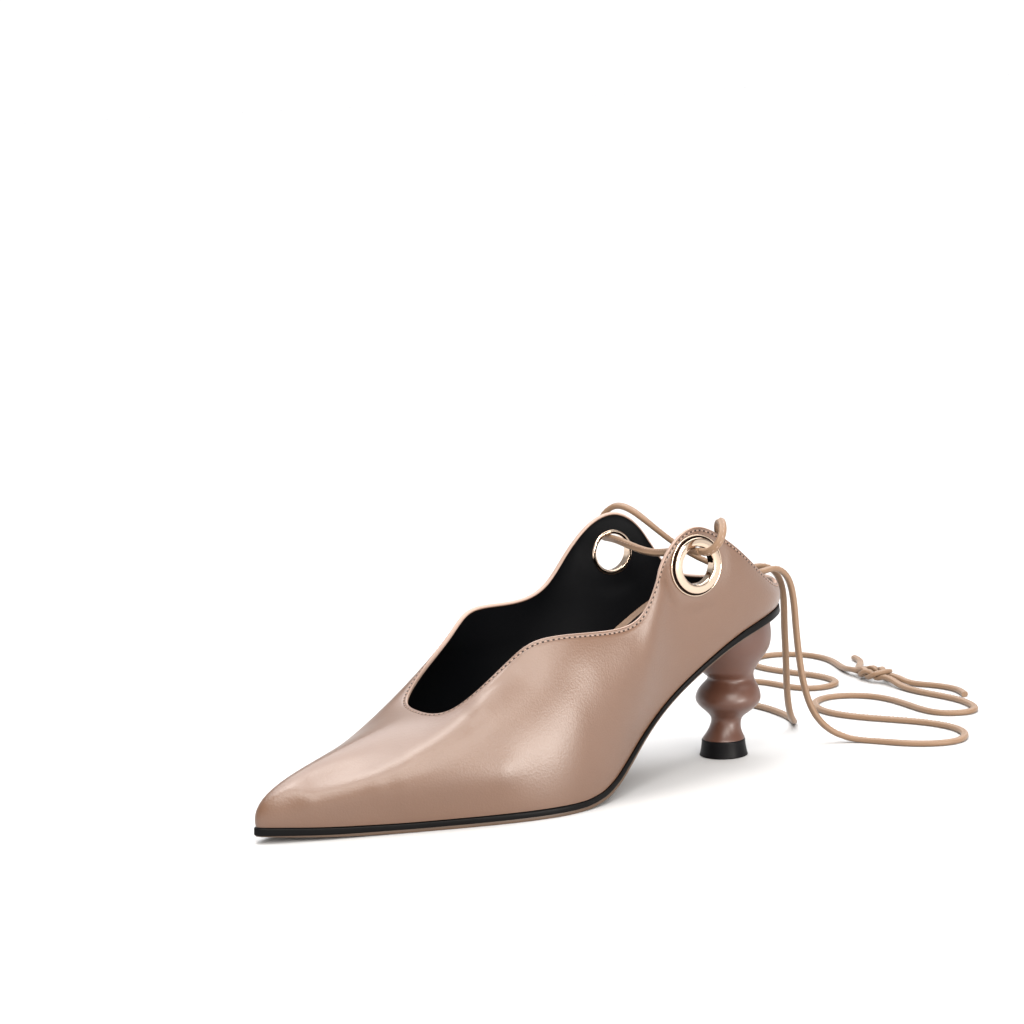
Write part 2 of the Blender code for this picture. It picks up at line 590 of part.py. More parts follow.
def screwed(name, profile, steps, look, collection):
    """A turned piece from a profile of (radius, height), closed by the Screw modifier."""
    mesh = bpy.data.meshes.new(name)
    count = len(profile)
    closed = profile[0][0] > 0 and profile[-1][0] > 0
    edges = [(i, (i + 1) % count) for i in range(count if closed else count - 1)]
    mesh.from_pydata([(radius, 0.0, z) for radius, z in profile], edges, [])
    piece = place(name, mesh, look, collection)
    screw = piece.modifiers.new("turn", "SCREW")
    screw.steps = screw.render_steps = steps
    screw.use_merge_vertices = True
    screw.merge_threshold = 0.00001
    screw.use_normal_calculate = True
    return piece


def heel_tip(look, collection):
    """The tip: a short cone with a slightly hollow side and a flat foot."""
    waist = TIP_TOP_RADIUS + (TIP_BOTTOM_RADIUS - TIP_TOP_RADIUS) * 0.35
    screwed("heel_tip", (
        (0.0, TIP_HEIGHT), (TIP_TOP_RADIUS, TIP_HEIGHT), (waist, TIP_HEIGHT * 0.45),
        (TIP_BOTTOM_RADIUS, TIP_HEIGHT * 0.06), (TIP_BOTTOM_RADIUS - 2 * GAP, 0.0), (0.0, 0.0),
    ), 32, look, collection)


def eyelet(name, look, collection):
    """A ring through the wall: crowned flange outside, barrel, washer on the lining."""
    hole = EYELET_HOLE_RADIUS
    barrel = hole + EYELET_BARREL
    flange = hole + EYELET_FLANGE
    washer = hole + EYELET_WASHER
    seat, crown = GAP, GAP + EYELET_HEIGHT
    under = -WALL - GAP
    piece = screwed(f"eyelet_{name}", (
        (hole, seat + 0.2 * EYELET_HEIGHT), (hole + 0.12 * EYELET_FLANGE, crown * 0.80),
        (hole + 0.34 * EYELET_FLANGE, crown), (hole + 0.66 * EYELET_FLANGE, crown * 0.94),
        (flange - 0.08 * EYELET_FLANGE, crown * 0.60), (flange, seat + 0.1 * EYELET_HEIGHT),
        (flange - 0.05 * EYELET_FLANGE, seat), (barrel, seat), (barrel, under),
        (washer, under), (washer - 0.2 * EYELET_WASHER, under - 0.4 * EYELET_HEIGHT),
        (hole + 0.2 * EYELET_WASHER, under - 0.4 * EYELET_HEIGHT), (hole, under),
    ), 36, look, collection)
    centre, outward = EYELETS[name]
    piece.location = centre
    piece.rotation_euler = Vector(outward).to_track_quat("Z", "Y").to_euler()


def strand(name, points, look, collection):
    """A lace strand: a round tube along the points, with closed ends."""
    curve = bpy.data.curves.new(name, "CURVE")
    curve.dimensions = "3D"
    curve.bevel_depth = LACE_RADIUS
    curve.bevel_resolution = 2
    curve.use_fill_caps = True
    line = curve.splines.new("POLY")
    line.points.add(len(points) - 1)
    line.points.foreach_set("co", np.column_stack([points, np.ones(len(points))]).ravel())
    return place(name, curve, look, collection)


def route(points):
    """Smooth curve through hand-placed points, read every few diameters."""
    points = np.array(points) * MILLIMETRE
    knots = chord(points)
    return natural_cubic(knots, points, np.linspace(0, knots[-1], round(knots[-1] / ROUTE_STEP)))


def lace_bar(look, collection):
    """The stretch across the opening, through both eyelets, close under their top edge."""
    lift = EYELET_HOLE_RADIUS - LACE_RADIUS - GAP
    mouth = GAP + EYELET_HEIGHT + 2 * GAP
    ends = []
    for name in ("lateral", "medial"):
        centre, outward = EYELETS[name]
        up = unit(np.array([0.0, 0.0, 1.0]) - outward * outward[2])
        top = centre + up * lift
        ends.append([top + outward * mouth, top - outward * 2 * WALL])
    sag = np.array([0.0, 0.0, -2 * LACE_RADIUS])
    middle = (ends[0][1] + ends[1][1]) / 2 + sag
    points = np.array([*ends[0], middle, *ends[1][::-1]])
    knots = chord(points)
    strand("lace_bar", natural_cubic(knots, points, np.linspace(0, knots[-1], 15)),
           look, collection)


def knot(look, collection):
    """Outer form of the reef knot that joins the ties."""
    bpy.ops.mesh.primitive_cube_add(size=1.0)
    made = bpy.context.active_object
    mesh = made.data
    bpy.data.objects.remove(made)
    mesh.transform(Matrix.Diagonal((*KNOT_SIZE, 1.0)))
    piece = place("knot", mesh, look, collection)
    piece.location = Vector(KNOT_PLACE) * MILLIMETRE
    bevel = piece.modifiers.new("round", "BEVEL")
    bevel.width = KNOT_EDGE
    bevel.segments = 2


def main():
    """Build the shoe in an empty scene."""
    for old in list(bpy.data.objects):
        bpy.data.objects.remove(old, do_unlink=True)
    shoe = bpy.data.collections.new("lace_up_heel")
    cutters = bpy.data.collections.new("cutters")
    for collection in (shoe, cutters):
        bpy.context.scene.collection.children.link(collection)
    nude = material("nude_leather", (0.55, 0.37, 0.29), 0.4)
    lacquer = material("nude_lacquer", (0.33, 0.20, 0.15), 0.3)
    black = material("black_rubber", (0.02, 0.02, 0.02), 0.5)
    lining = material("black_lining", (0.01, 0.01, 0.012), 0.7)
    gold = material("rose_gold", (0.9, 0.75, 0.65), 0.1, metallic=1.0)
    lace = material("lace_leather", (0.42, 0.26, 0.19), 0.5)

    outsole(black, shoe)
    insole(lining, shoe)
    upper(nude, shoe, cutters)
    heel(lacquer, shoe)
    heel_tip(black, shoe)
    for side in EYELETS:
        eyelet(side, gold, shoe)
    lace_bar(lace, shoe)
    strand("tie_lateral", route(LATERAL_TIE), lace, shoe)
    strand("tie_medial", route(MEDIAL_TIE), lace, shoe)
    knot(lace, shoe)
    strand("tail_lateral", route(LATERAL_TAIL), lace, shoe)
    strand("tail_medial", route(MEDIAL_TAIL), lace, shoe)


main()
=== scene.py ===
"""Studio scene of a women's lace-up heel: the left shoe in nude leather, with its ties on the floor.

The shoe's surfaces are worked out from the same sizes and tables as its solids, in metres:
toe towards -Y, the outer side towards +X, the floor at z = 0.
"""
import logging
import math
from collections.abc import Callable
from dataclasses import dataclass, field
from enum import Enum

import bmesh
import bpy
import numpy as np
from mathutils import Matrix


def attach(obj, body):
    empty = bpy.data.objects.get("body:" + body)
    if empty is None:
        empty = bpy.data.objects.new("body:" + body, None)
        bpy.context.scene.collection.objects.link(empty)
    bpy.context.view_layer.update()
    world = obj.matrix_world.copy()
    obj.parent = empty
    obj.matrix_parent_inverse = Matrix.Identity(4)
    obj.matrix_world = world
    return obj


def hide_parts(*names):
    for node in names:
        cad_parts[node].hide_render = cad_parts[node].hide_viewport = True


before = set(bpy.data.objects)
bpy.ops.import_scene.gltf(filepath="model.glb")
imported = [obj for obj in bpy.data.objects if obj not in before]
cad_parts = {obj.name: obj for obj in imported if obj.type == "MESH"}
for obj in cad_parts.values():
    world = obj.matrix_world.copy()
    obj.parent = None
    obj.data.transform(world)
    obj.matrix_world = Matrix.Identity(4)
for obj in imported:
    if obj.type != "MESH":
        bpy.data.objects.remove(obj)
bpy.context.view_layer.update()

log = logging.getLogger("lace_up_heel")

Array = np.ndarray
# A height above the sole line as a function of y, and a plate's ring: its outward distance
# and its height.
Height = Callable[[Array], Array]
Level = tuple[float, Height]
MM = 0.001
BODY = "root"


class Slot(Enum):
    """Material slots of the record."""

    UPPER = "upper_leather"
    INSOLE = "insole_leather"
    SOLE = "sole_rubber"
    HEEL = "heel_lacquer"
    TIP = "tip_rubber"
    METAL = "eyelet_metal"
    LACE = "lace_leather"


class Side(Enum):
    """The two sides of the shoe, with the sign of x there."""

    LATERAL = 1
    MEDIAL = -1


# Curves

def table(names: tuple[str, ...], *rows: tuple[float, ...]) -> dict[str, Array]:
    """Rows of numbers as one array for each named column.

    Args:
        names: the columns' names.
        rows: one tuple for each row.

    Returns:
        The columns by name.
    """
    return {name: np.array(column) for name, column in zip(names, zip(*rows))}


def natural_cubic(knots: Array, values: Array, at: Array, closed: bool = False) -> Array:
    """Read a C2 cubic spline through rows of values.

    The bends at the knots solve the usual three-term rule; they are zero at the ends of an
    open curve, and equal at both ends of a closed one.

    Args:
        knots: rising knot places.
        values: one row for each knot.
        at: places to read.
        closed: whether the last row repeats the first.

    Returns:
        One row for each place.
    """
    step = np.diff(knots)
    slope = np.diff(values, axis=0) / step[:, None]
    count = len(knots)
    inner = np.arange(1, count - 1)
    system = np.zeros((count, count))
    right = np.zeros(values.shape)
    system[inner, inner - 1] = step[:-1]
    system[inner, inner] = 2 * (step[:-1] + step[1:])
    system[inner, inner + 1] = step[1:]
    right[inner] = 6 * np.diff(slope, axis=0)
    system[0, 0] = system[-1, -1] = 1
    if closed:
        system[0, :2] = 2 * (step[0] + step[-1]), step[0]
        system[0, -2] = step[-1]
        right[0] = 6 * (slope[0] - slope[-1])
        system[-1, 0] = -1
    bend = np.linalg.solve(system, right)
    k = np.clip(np.searchsorted(knots, at, side="right") - 1, 0, count - 2)
    a = ((knots[k + 1] - at) / step[k])[:, None]
    b = 1 - a
    square = (step[k] ** 2)[:, None] / 6
    return (a * values[k] + b * values[k + 1]
            + ((a ** 3 - a) * bend[k] + (b ** 3 - b) * bend[k + 1]) * square)


def level_cubic(knots: Array, values: Array, at: Array) -> Array:
    """Read a smooth curve that doesn't swing past its values.

    Its slope at a knot is the weighted harmonic mean of the slopes beside it, or level where
    they differ in sign.

    Args:
        knots: rising knot places.
        values: the value at each knot.
        at: places to read; beyond the knots the curve runs on straight.

    Returns:
        The value at each place.
    """
    step = np.diff(knots)
    slope = np.diff(values) / step
    tangent = np.zeros(len(knots))
    before = 2 * step[1:] + step[:-1]
    after = step[1:] + 2 * step[:-1]
    with np.errstate(divide="ignore", invalid="ignore"):
        middle = (before + after) / (before / slope[:-1] + after / slope[1:])
    tangent[1:-1] = np.where(slope[:-1] * slope[1:] > 0, middle, 0)
    tangent[0], tangent[-1] = slope[0], slope[-1]
    k = np.clip(np.searchsorted(knots, at, side="right") - 1, 0, len(knots) - 2)
    t = np.clip((at - knots[k]) / step[k], 0, 1)
    beyond = np.asarray(at, float) - np.clip(at, knots[0], knots[-1])
    inside = ((1 + 2 * t) * (1 - t) ** 2 * values[k] + t * t * (3 - 2 * t) * values[k + 1]
              + step[k] * t * (1 - t) * ((1 - t) * tangent[k] - t * tangent[k + 1]))
    return inside + beyond * np.where(beyond > 0, tangent[-1], tangent[0])


def chord(points: Array) -> Array:
    """Running length along the points, from 0."""
    return np.r_[0, np.cumsum(np.linalg.norm(np.diff(points, axis=0), axis=1))]


def unit(vectors: Array) -> Array:
    """The vectors at length 1."""
    return vectors / np.linalg.norm(vectors, axis=-1, keepdims=True)


def ease(low: float, high: float, at: Array) -> Array:
    """Rise smoothly from 0 at low to 1 at high."""
    t = np.clip((at - low) / (high - low), 0, 1)
    return t * t * (3 - 2 * t)


# Meshes

def grid_faces(rows: int, columns: int, wrap_rows: bool, wrap_columns: bool) -> Array:
    """Quads of a grid of points, row by row.

    Args:
        rows: rows of points.
        columns: points in a row.
        wrap_rows: whether the last row joins the first.
        wrap_columns: whether each row closes on itself.

    Returns:
        Corner indices, four for each quad.
    """
    i, j = np.meshgrid(np.arange(rows if wrap_rows else rows - 1),
                       np.arange(columns if wrap_columns else columns - 1), indexing="ij")
    low, high = i * columns, (i + 1) % rows * columns
    left, right = j, (j + 1) % columns
    return np.stack([low + left, low + right, high + right, high + left], axis=-1).reshape(-1, 4)


def face_outwards(points: Array, faces: Array) -> Array:
    """Turn the faces of a closed mesh round if they point in, by its signed volume.

    Args:
        points: corner places.
        faces: corner indices, four for each face.

    Returns:
        The faces, as they were or turned round.
    """
    a, b, c, d = (points[faces[:, k]] for k in range(4))
    volume = np.sum(a * np.cross(b, c)) + np.sum(a * np.cross(c, d))
    return faces if volume > 0 else faces[:, ::-1]


def make_piece(name: str, points: Array, faces: Array, finishes: list[bpy.types.Material],
               choice: Array | None = None, sharp_deg: float = 40.0) -> bpy.types.Object:
    """Put a closed mesh of quads into the scene, facing out and shaded smooth.

    Args:
        name: the piece's name.
        points: corner places.
        faces: corner indices, four for each face; one with two equal corners is dropped.
        finishes: the materials.
        choice: which material each face takes, or none for the first.
        sharp_deg: edges bent more than this stay sharp.

    Returns:
        The new object, at the origin.
    """
    points = points.reshape(-1, 3)
    faces = face_outwards(points, faces)
    mesh = bpy.data.meshes.new(name)
    mesh.vertices.add(len(points))
    mesh.vertices.foreach_set("co", points.astype(np.float32).ravel())
    mesh.loops.add(faces.size)
    mesh.loops.foreach_set("vertex_index", faces.astype(np.int32).ravel())
    mesh.polygons.add(len(faces))
    mesh.polygons.foreach_set("loop_start", np.arange(0, faces.size, 4, dtype=np.int32))
    if choice is not None:
        mesh.polygons.foreach_set("material_index", choice.astype(np.int32))
    mesh.update(calc_edges=True)
    mesh.validate()
    piece = bpy.data.objects.new(name, mesh)
    bpy.context.scene.collection.objects.link(piece)
    for finish in finishes:
        mesh.materials.append(finish)
    mesh.shade_smooth()
    mesh.set_sharp_from_angle(angle=math.radians(sharp_deg))
    return piece


def adopt(piece: bpy.types.Object, slot: Slot, *nodes: str) -> bpy.types.Object:
    """Let a piece ride on the shoe and let it stand for its solids.

    Args:
        piece: the piece.
        slot: the material slot of the record that it shows; not used.
        nodes: names of the solids that it replaces.

    Returns:
        The piece.
    """
    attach(piece, BODY)
    if nodes:
        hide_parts(*nodes)
    log.info("piece %s: %d faces", piece.name, len(piece.data.polygons))
    return piece


def turned(profile: Array, sides: int) -> Array:
    """Rings of a profile of (radius, height) turned about the z axis.

    Args:
        profile: rows of radius and height.
        sides: points in a ring.

    Returns:
        Points as rows of the profile by sides by 3.
    """
    angle = np.linspace(0, 2 * math.pi, sides, endpoint=False)
    around = np.stack([np.cos(angle), np.sin(angle)], axis=1)
    flat = profile[:, None, :1] * around[None]
    return np.concatenate([flat, np.repeat(profile[:, None, 1:], sides, axis=1)], axis=2)


def repeat_shape(points: Array, faces: Array, origins: Array, axes: Array) -> tuple[Array, Array]:
    """Copy one small shape to many places.

    Each copy's point is its origin plus the point's three measures along the place's axes.

    Args:
        points: the shape's points.
        faces: its faces.
        origins: one place for each copy.
        axes: three directions for each copy, as rows.

    Returns:
        All points and all faces.
    """
    placed = origins[:, None] + np.einsum("pk,nkd->npd", points, axes)
    shift = np.arange(len(origins))[:, None, None] * len(points)
    return placed.reshape(-1, 3), (faces[None] + shift).reshape(-1, 4)


# The power of the bean's superellipse: 2 is an ellipse, more is fuller.
BEAN_FULLNESS = 2.6


def bean(half_length: float, half_width: float, half_height: float, arch: float = 0.0,
         rings: int = 7, sides: int = 8) -> tuple[Array, Array]:
    """A small closed bean: rings along its length whose size falls off as a superellipse.

    Args:
        half_length: along its first axis.
        half_width: along its second.
        half_height: along its third.
        arch: how far its middle stands above its ends, along the third.
        rings: rings from end to end.
        sides: points in a ring.

    Returns:
        Its points and faces.
    """
    t = -np.cos(np.linspace(0, math.pi, rings))
    size = np.sqrt(np.clip(1 - np.abs(t) ** BEAN_FULLNESS, 0, 1))[:, None]
    angle = np.linspace(0, 2 * math.pi, sides, endpoint=False)[None]
    points = np.stack([np.broadcast_to(t[:, None] * half_length, (rings, sides)),
                       size * np.cos(angle) * half_width,
                       size * np.sin(angle) * half_height + arch * (1 - t[:, None] ** 2)], axis=-1)
    return points.reshape(-1, 3), grid_faces(rings, sides, False, True)


def along_line(line: Array, out: Array, run: Array, places: Array) -> tuple[Array, Array]:
    """Places on a line with their tangent, side and outward directions.

    Args:
        line: the line's points.
        out: outward directions at them.
        run: the running length at them.
        places: lengths to read.

    Returns:
        The points, and the three directions at each as rows.
    """
    def read(values: Array, at: Array) -> Array:
        """The rows of values read at running lengths."""
        return np.stack([np.interp(at, run, part) for part in values.T], axis=1)

    step = 0.0003
    tangent = unit(read(line, np.clip(places + step, 0, run[-1]))
                   - read(line, np.clip(places - step, 0, run[-1])))
    normal = unit(read(out, places))
    side = unit(np.cross(normal, tangent))
    return read(line, places), np.stack([tangent, side, np.cross(tangent, side)], axis=1)


def frame_of(outward: Array) -> Array:
    """Three directions as rows, the last of them outward."""
    first = unit(np.cross([0.0, 0.0, 1.0], outward))
    return np.stack([first, np.cross(outward, first), outward])


def merge(piece: bpy.types.Object, distance: float = 1e-6) -> None:
    """Merge a piece's doubles and dissolve the faces that they leave without area.

    Args:
        piece: the piece.
        distance: how near two points are when they count as one.
    """
    work = bmesh.new()
    work.from_mesh(piece.data)
    bmesh.ops.remove_doubles(work, verts=work.verts, dist=distance)
    bmesh.ops.dissolve_degenerate(work, edges=work.edges, dist=distance)
    work.to_mesh(piece.data)
    work.free()


# Finishes

# The Mix node's sockets share their names, so they are called by index.
MIX_FACTOR = 0
MIX_FLOAT_A, MIX_FLOAT_B, MIX_FLOAT_RESULT = 2, 3, 0
MIX_COLOUR_A, MIX_COLOUR_B, MIX_COLOUR_RESULT = 6, 7, 2


def linear(code: str) -> tuple[float, float, float, float]:
    """Turn an sRGB colour into linear light.

    Args:
        code: the colour as a hash and six hex digits.

    Returns:
        Red, green, blue and an alpha of 1.
    """
    parts = [int(code[i:i + 2], 16) / 255 for i in (1, 3, 5)]
    light = [c / 12.92 if c <= 0.04045 else ((c + 0.055) / 1.055) ** 2.4 for c in parts]
    return (*light, 1.0)


def add_node(tree: bpy.types.NodeTree, kind: str, values: dict | None = None,
             links: dict | None = None, **settings: object) -> bpy.types.Node:
    """Add a node with its settings, input values and links.

    Args:
        tree: the material's node tree.
        kind: the node's type name, without its ShaderNode prefix.
        values: input values by name or index.
        links: output sockets by the input that they feed.
        settings: attributes of the node.

    Returns:
        The node.
    """
    node = tree.nodes.new("ShaderNode" + kind)
    for name, value in settings.items():
        setattr(node, name, value)
    for key, value in (values or {}).items():
        node.inputs[key].default_value = value
    for key, socket in (links or {}).items():
        tree.links.new(socket, node.inputs[key])
    return node


@dataclass(frozen=True)
class Finish:
    """A finish: a Principled surface, with mottled colour and a bumped grain.

    The mottle mixes two colours by slow noise. The grain is cells of one real size, with
    finer noise over them, as leather's pores have.
    """

    name: str
    colour: str
    mottle: str
    mottle_mm: float = 18.0
    roughness: float = 0.45
    roughness_swing: float = 0.08
    metallic: float = 0.0
    grain_mm: float = 0.9
    grain_depth_mm: float = 0.02
    fine_share: float = 0.4
    coat: float = 0.0
    coat_roughness: float = 0.2
    sheen: float = 0.0
    specular: float = 0.5

    def build(self) -> bpy.types.Material:
        """Make the material.

        Returns:
            The material, which reads Object coordinates.
        """
        material = bpy.data.materials.new(self.name)
        material.use_nodes = True
        tree = material.node_tree
        shader = tree.nodes["Principled BSDF"]
        fixed = {"Metallic": self.metallic, "Coat Weight": self.coat,
                 "Coat Roughness": self.coat_roughness, "Sheen Weight": self.sheen,
                 "Sheen Roughness": 0.5, "Specular IOR Level": self.specular}
        for name, value in fixed.items():
            shader.inputs[name].default_value = value
        place = add_node(tree, "TexCoord").outputs["Object"]
        slow = add_node(tree, "TexNoise", {"Scale": 1 / (self.mottle_mm * MM), "Detail": 4.0},
                        {"Vector": place}).outputs["Fac"]
        colour = add_node(tree, "Mix", {MIX_COLOUR_A: linear(self.colour),
                                        MIX_COLOUR_B: linear(self.mottle)},
                          {MIX_FACTOR: slow}, data_type="RGBA").outputs[MIX_COLOUR_RESULT]
        tree.links.new(colour, shader.inputs["Base Color"])
        rough = add_node(tree, "MapRange", {"To Min": self.roughness - self.roughness_swing,
                                            "To Max": self.roughness + self.roughness_swing},
                         {"Value": slow}).outputs["Result"]
        tree.links.new(rough, shader.inputs["Roughness"])
        if self.grain_depth_mm > 0:
            bumped = self.grain(tree, place)
            for name in ("Normal", "Coat Normal"):
                tree.links.new(bumped, shader.inputs[name])
        return material

    def grain(self, tree: bpy.types.NodeTree, place: bpy.types.NodeSocket) -> bpy.types.NodeSocket:
        """Bump the surface with pores and a finer noise.

        Args:
            tree: the material's node tree.
            place: the coordinates.

        Returns:
            The bumped normal.
        """
        cells = add_node(tree, "TexVoronoi", {"Scale": 1 / (self.grain_mm * MM), "Randomness": 1.0},
                         {"Vector": place}, feature="F1").outputs["Distance"]
        fine = add_node(tree, "TexNoise", {"Scale": 3 / (self.grain_mm * MM), "Detail": 3.0},
                        {"Vector": place}).outputs["Fac"]
        both = add_node(tree, "Mix", {MIX_FACTOR: self.fine_share},
                        {MIX_FLOAT_A: cells, MIX_FLOAT_B: fine},
                        data_type="FLOAT").outputs[MIX_FLOAT_RESULT]
        return add_node(tree, "Bump", {"Strength": 1.0, "Distance": self.grain_depth_mm * MM},
                        {"Height": both}).outputs["Normal"]


# Calf leather, glazed: fine pores and a soft gloss, a pinkish nude.
NUDE_CALF = Finish("nude_glazed_calf", "#664732", "#604330", roughness=0.42, grain_mm=0.8,
                   grain_depth_mm=0.055, coat=0.85, coat_roughness=0.34)
# The fold of the topline: paler, almost cream, a painted highlight where the fold catches the light.
FOLD_HIGHLIGHT = Finish("calf_fold_painted_highlight", "#A88F81", "#A0877A", roughness=0.45,
                     grain_depth_mm=0)
# Pigskin lining, dyed black: matt, with larger pores that catch a little light.
BLACK_LINING = Finish("black_pigskin_lining", "#050609", "#07080B", roughness=0.55,
                      grain_mm=0.9, grain_depth_mm=0.03, specular=0.15)
# Cut sole edge, inked black and waxed: a satin streak along it.
BLACK_EDGE = Finish("waxed_black_sole_edge", "#070606", "#0A0909", roughness=0.38,
                    grain_mm=0.7, grain_depth_mm=0.006, specular=0.12)
# Bark-tanned tread: brown and dull.
BROWN_TREAD = Finish("brown_leather_tread", "#5A4534", "#4B392B", roughness=0.5,
                     grain_mm=0.6, grain_depth_mm=0.02)
# Moulded heel, sprayed to match the leather: smooth under a soft clear coat.
NUDE_LACQUER = Finish("nude_heel_lacquer", "#59392C", "#543529", roughness=0.40, grain_depth_mm=0,
                      coat=0.35, coat_roughness=0.33)
# Injected top piece: hard black rubber.
BLACK_RUBBER = Finish("black_top_piece_rubber", "#0A090B", "#0D0C0E", roughness=0.45,
                      grain_mm=0.5, grain_depth_mm=0.004, specular=0.12)
# Plated brass, polished: a pale, warm gold mirror.
ROSE_GOLD = Finish("polished_rose_gold_plate", "#DCC6B2", "#D6BFA9", roughness=0.07,
                   roughness_swing=0.01, metallic=1.0, grain_depth_mm=0)
# The groove of the eyelet's lip: a dark metal, painted shade and painted dark reflection where the
# lamps' light doesn't reach.
GROOVE_PAINTED_SHADE = Finish("eyelet_groove_painted_shade", "#4A3A33", "#40322B", roughness=0.3,
                          metallic=1.0, grain_depth_mm=0)
# Folded goatskin strip: the upper's nude, a little browner, its fibres showing.
NUDE_STRIP = Finish("nude_goatskin_strip", "#866A52", "#795E46", mottle_mm=9.0, roughness=0.5,
                    grain_mm=0.6, grain_depth_mm=0.03, sheen=0.1)
# Edge of the insole board and rim of the arch pad, covered in nude lining leather.
NUDE_BOARD = Finish("nude_insole_board", "#8A6E58", "#826650", roughness=0.5, grain_mm=0.7,
                    grain_depth_mm=0.02)
# Bonded nylon thread, nude.
THREAD = Finish("nude_nylon_thread", "#9A8071", "#90776A", roughness=0.45, grain_mm=0.25,
                grain_depth_mm=0.02)
# Pricked leather: the dark of a needle hole, painted shade in place of the hole's depth.
NEEDLE_HOLE_SHADE = Finish("needle_hole", "#2C1F1A", "#241915", roughness=0.8, grain_depth_mm=0)
# Matt white studio floor.
WHITE_FLOOR = Finish("white_studio_floor", "#C6C6C6", "#C4C4C5", mottle_mm=400, roughness=0.85,
                     grain_depth_mm=0, specular=0.2)


# The last

# Ribs of the upper's wall, in shares. Foot, top and lean_along are shares of
# the length, counted from the back. Across, belly and lean_across are shares of the ball's
# half width, and above, rise and drop are shares of the ears' rise.
RIB_COLUMNS = ("foot", "top", "across", "above", "belly", "rise",
               "lean_across", "lean_along", "drop")
LATERAL_RIBS = table(
    RIB_COLUMNS,
    (0.000, -0.006, 0.000, 0.147, 0.040, 0.045, 0.000, -0.005, 0.052),
    (0.034, 0.032, 0.412, 0.164, 0.045, 0.049, 0.035, -0.003, 0.052),
    (0.072, 0.068, 0.550, 0.263, 0.055, 0.087, 0.040, -0.002, 0.087),
    (0.119, 0.115, 0.660, 0.466, 0.065, 0.139, 0.037, 0.000, 0.139),
    (0.183, 0.173, 0.715, 0.754, 0.087, 0.226, 0.050, 0.000, 0.243),
    (0.236, 0.231, 0.700, 1.000, 0.113, 0.313, 0.062, 0.000, 0.313),
    (0.294, 0.286, 0.730, 1.030, 0.125, 0.348, 0.075, 0.000, 0.313),
    (0.337, 0.320, 0.775, 0.928, 0.125, 0.348, 0.100, 0.000, 0.278),
    (0.375, 0.354, 0.800, 0.850, 0.100, 0.348, 0.125, 0.000, 0.243),
    (0.435, 0.414, 0.800, 0.975, 0.062, 0.348, 0.150, 0.000, 0.278),
    (0.499, 0.482, 0.750, 1.073, 0.050, 0.348, 0.200, 0.000, 0.278),
    (0.554, 0.537, 0.650, 1.061, 0.050, 0.348, 0.250, 0.000, 0.278),
    (0.635, 0.580, 0.562, 0.960, 0.062, 0.348, 0.275, 0.021, 0.209),
    (0.725, 0.629, 0.512, 0.807, 0.062, 0.313, 0.275, 0.051, 0.157),
    (0.819, 0.674, 0.400, 0.668, 0.062, 0.278, 0.200, 0.102, 0.157),
    (0.925, 0.697, 0.212, 0.623, 0.060, 0.235, 0.075, 0.154, 0.209),
    (1.000, 0.701, 0.000, 0.620, 0.075, 0.252, 0.000, 0.188, 0.217),
)
MEDIAL_RIBS = table(
    RIB_COLUMNS,
    (0.034, 0.032, 0.412, 0.153, 0.045, 0.049, 0.035, -0.003, 0.052),
    (0.081, 0.072, 0.550, 0.185, 0.055, 0.087, 0.040, -0.002, 0.087),
    (0.132, 0.126, 0.615, 0.322, 0.065, 0.139, 0.037, 0.000, 0.139),
    (0.179, 0.171, 0.675, 0.677, 0.087, 0.226, 0.050, 0.000, 0.243),
    (0.236, 0.230, 0.705, 0.991, 0.113, 0.313, 0.062, 0.000, 0.313),
    (0.294, 0.290, 0.740, 1.064, 0.125, 0.348, 0.075, 0.000, 0.313),
    (0.337, 0.330, 0.762, 1.023, 0.125, 0.348, 0.100, 0.000, 0.278),
    (0.375, 0.365, 0.775, 0.973, 0.100, 0.348, 0.125, 0.000, 0.243),
    (0.435, 0.414, 0.790, 1.036, 0.062, 0.348, 0.150, 0.000, 0.278),
    (0.499, 0.478, 0.760, 1.124, 0.050, 0.348, 0.200, 0.000, 0.278),
    (0.554, 0.529, 0.685, 1.124, 0.050, 0.313, 0.225, 0.000, 0.278),
    (0.635, 0.576, 0.597, 1.002, 0.055, 0.261, 0.225, 0.021, 0.243),
    (0.725, 0.629, 0.537, 0.828, 0.055, 0.209, 0.212, 0.051, 0.209),
    (0.819, 0.674, 0.420, 0.686, 0.055, 0.200, 0.150, 0.102, 0.209),
    (0.925, 0.697, 0.225, 0.630, 0.060, 0.209, 0.062, 0.154, 0.226),
)
# The feather line from above, in shares of the length and of the ball's half width.
LATERAL_OUTLINE = table(
    ("along", "across"),
    (0.000, 0.000), (0.019, 0.338), (0.068, 0.562), (0.132, 0.633), (0.200, 0.637),
    (0.269, 0.625), (0.333, 0.675), (0.392, 0.787), (0.456, 0.925), (0.516, 1.000),
    (0.576, 0.980), (0.640, 0.887), (0.708, 0.750), (0.780, 0.588), (0.853, 0.425),
    (0.921, 0.263), (0.974, 0.115), (1.000, 0.000),
)
MEDIAL_OUTLINE = table(
    ("along", "across"),
    (0.015, 0.312), (0.055, 0.525), (0.111, 0.608), (0.175, 0.600), (0.243, 0.575),
    (0.311, 0.583), (0.380, 0.637), (0.448, 0.738), (0.512, 0.845), (0.576, 0.895),
    (0.644, 0.875), (0.712, 0.787), (0.780, 0.650), (0.849, 0.475), (0.917, 0.287),
    (0.972, 0.120),
)
# Height of the sole's upper face along the shoe, as a share of the seat's rise.
SOLE_LINE = table(
    ("along", "rise"),
    (0.000, 1.000), (0.055, 0.972), (0.115, 0.907), (0.158, 0.832),
    (0.200, 0.737), (0.243, 0.626), (0.294, 0.479), (0.345, 0.315),
    (0.388, 0.173), (0.422, 0.078), (0.456, 0.024), (0.499, 0.002),
    (0.540, 0.000), (0.760, 0.000), (0.866, 0.010), (1.002, 0.042),
)
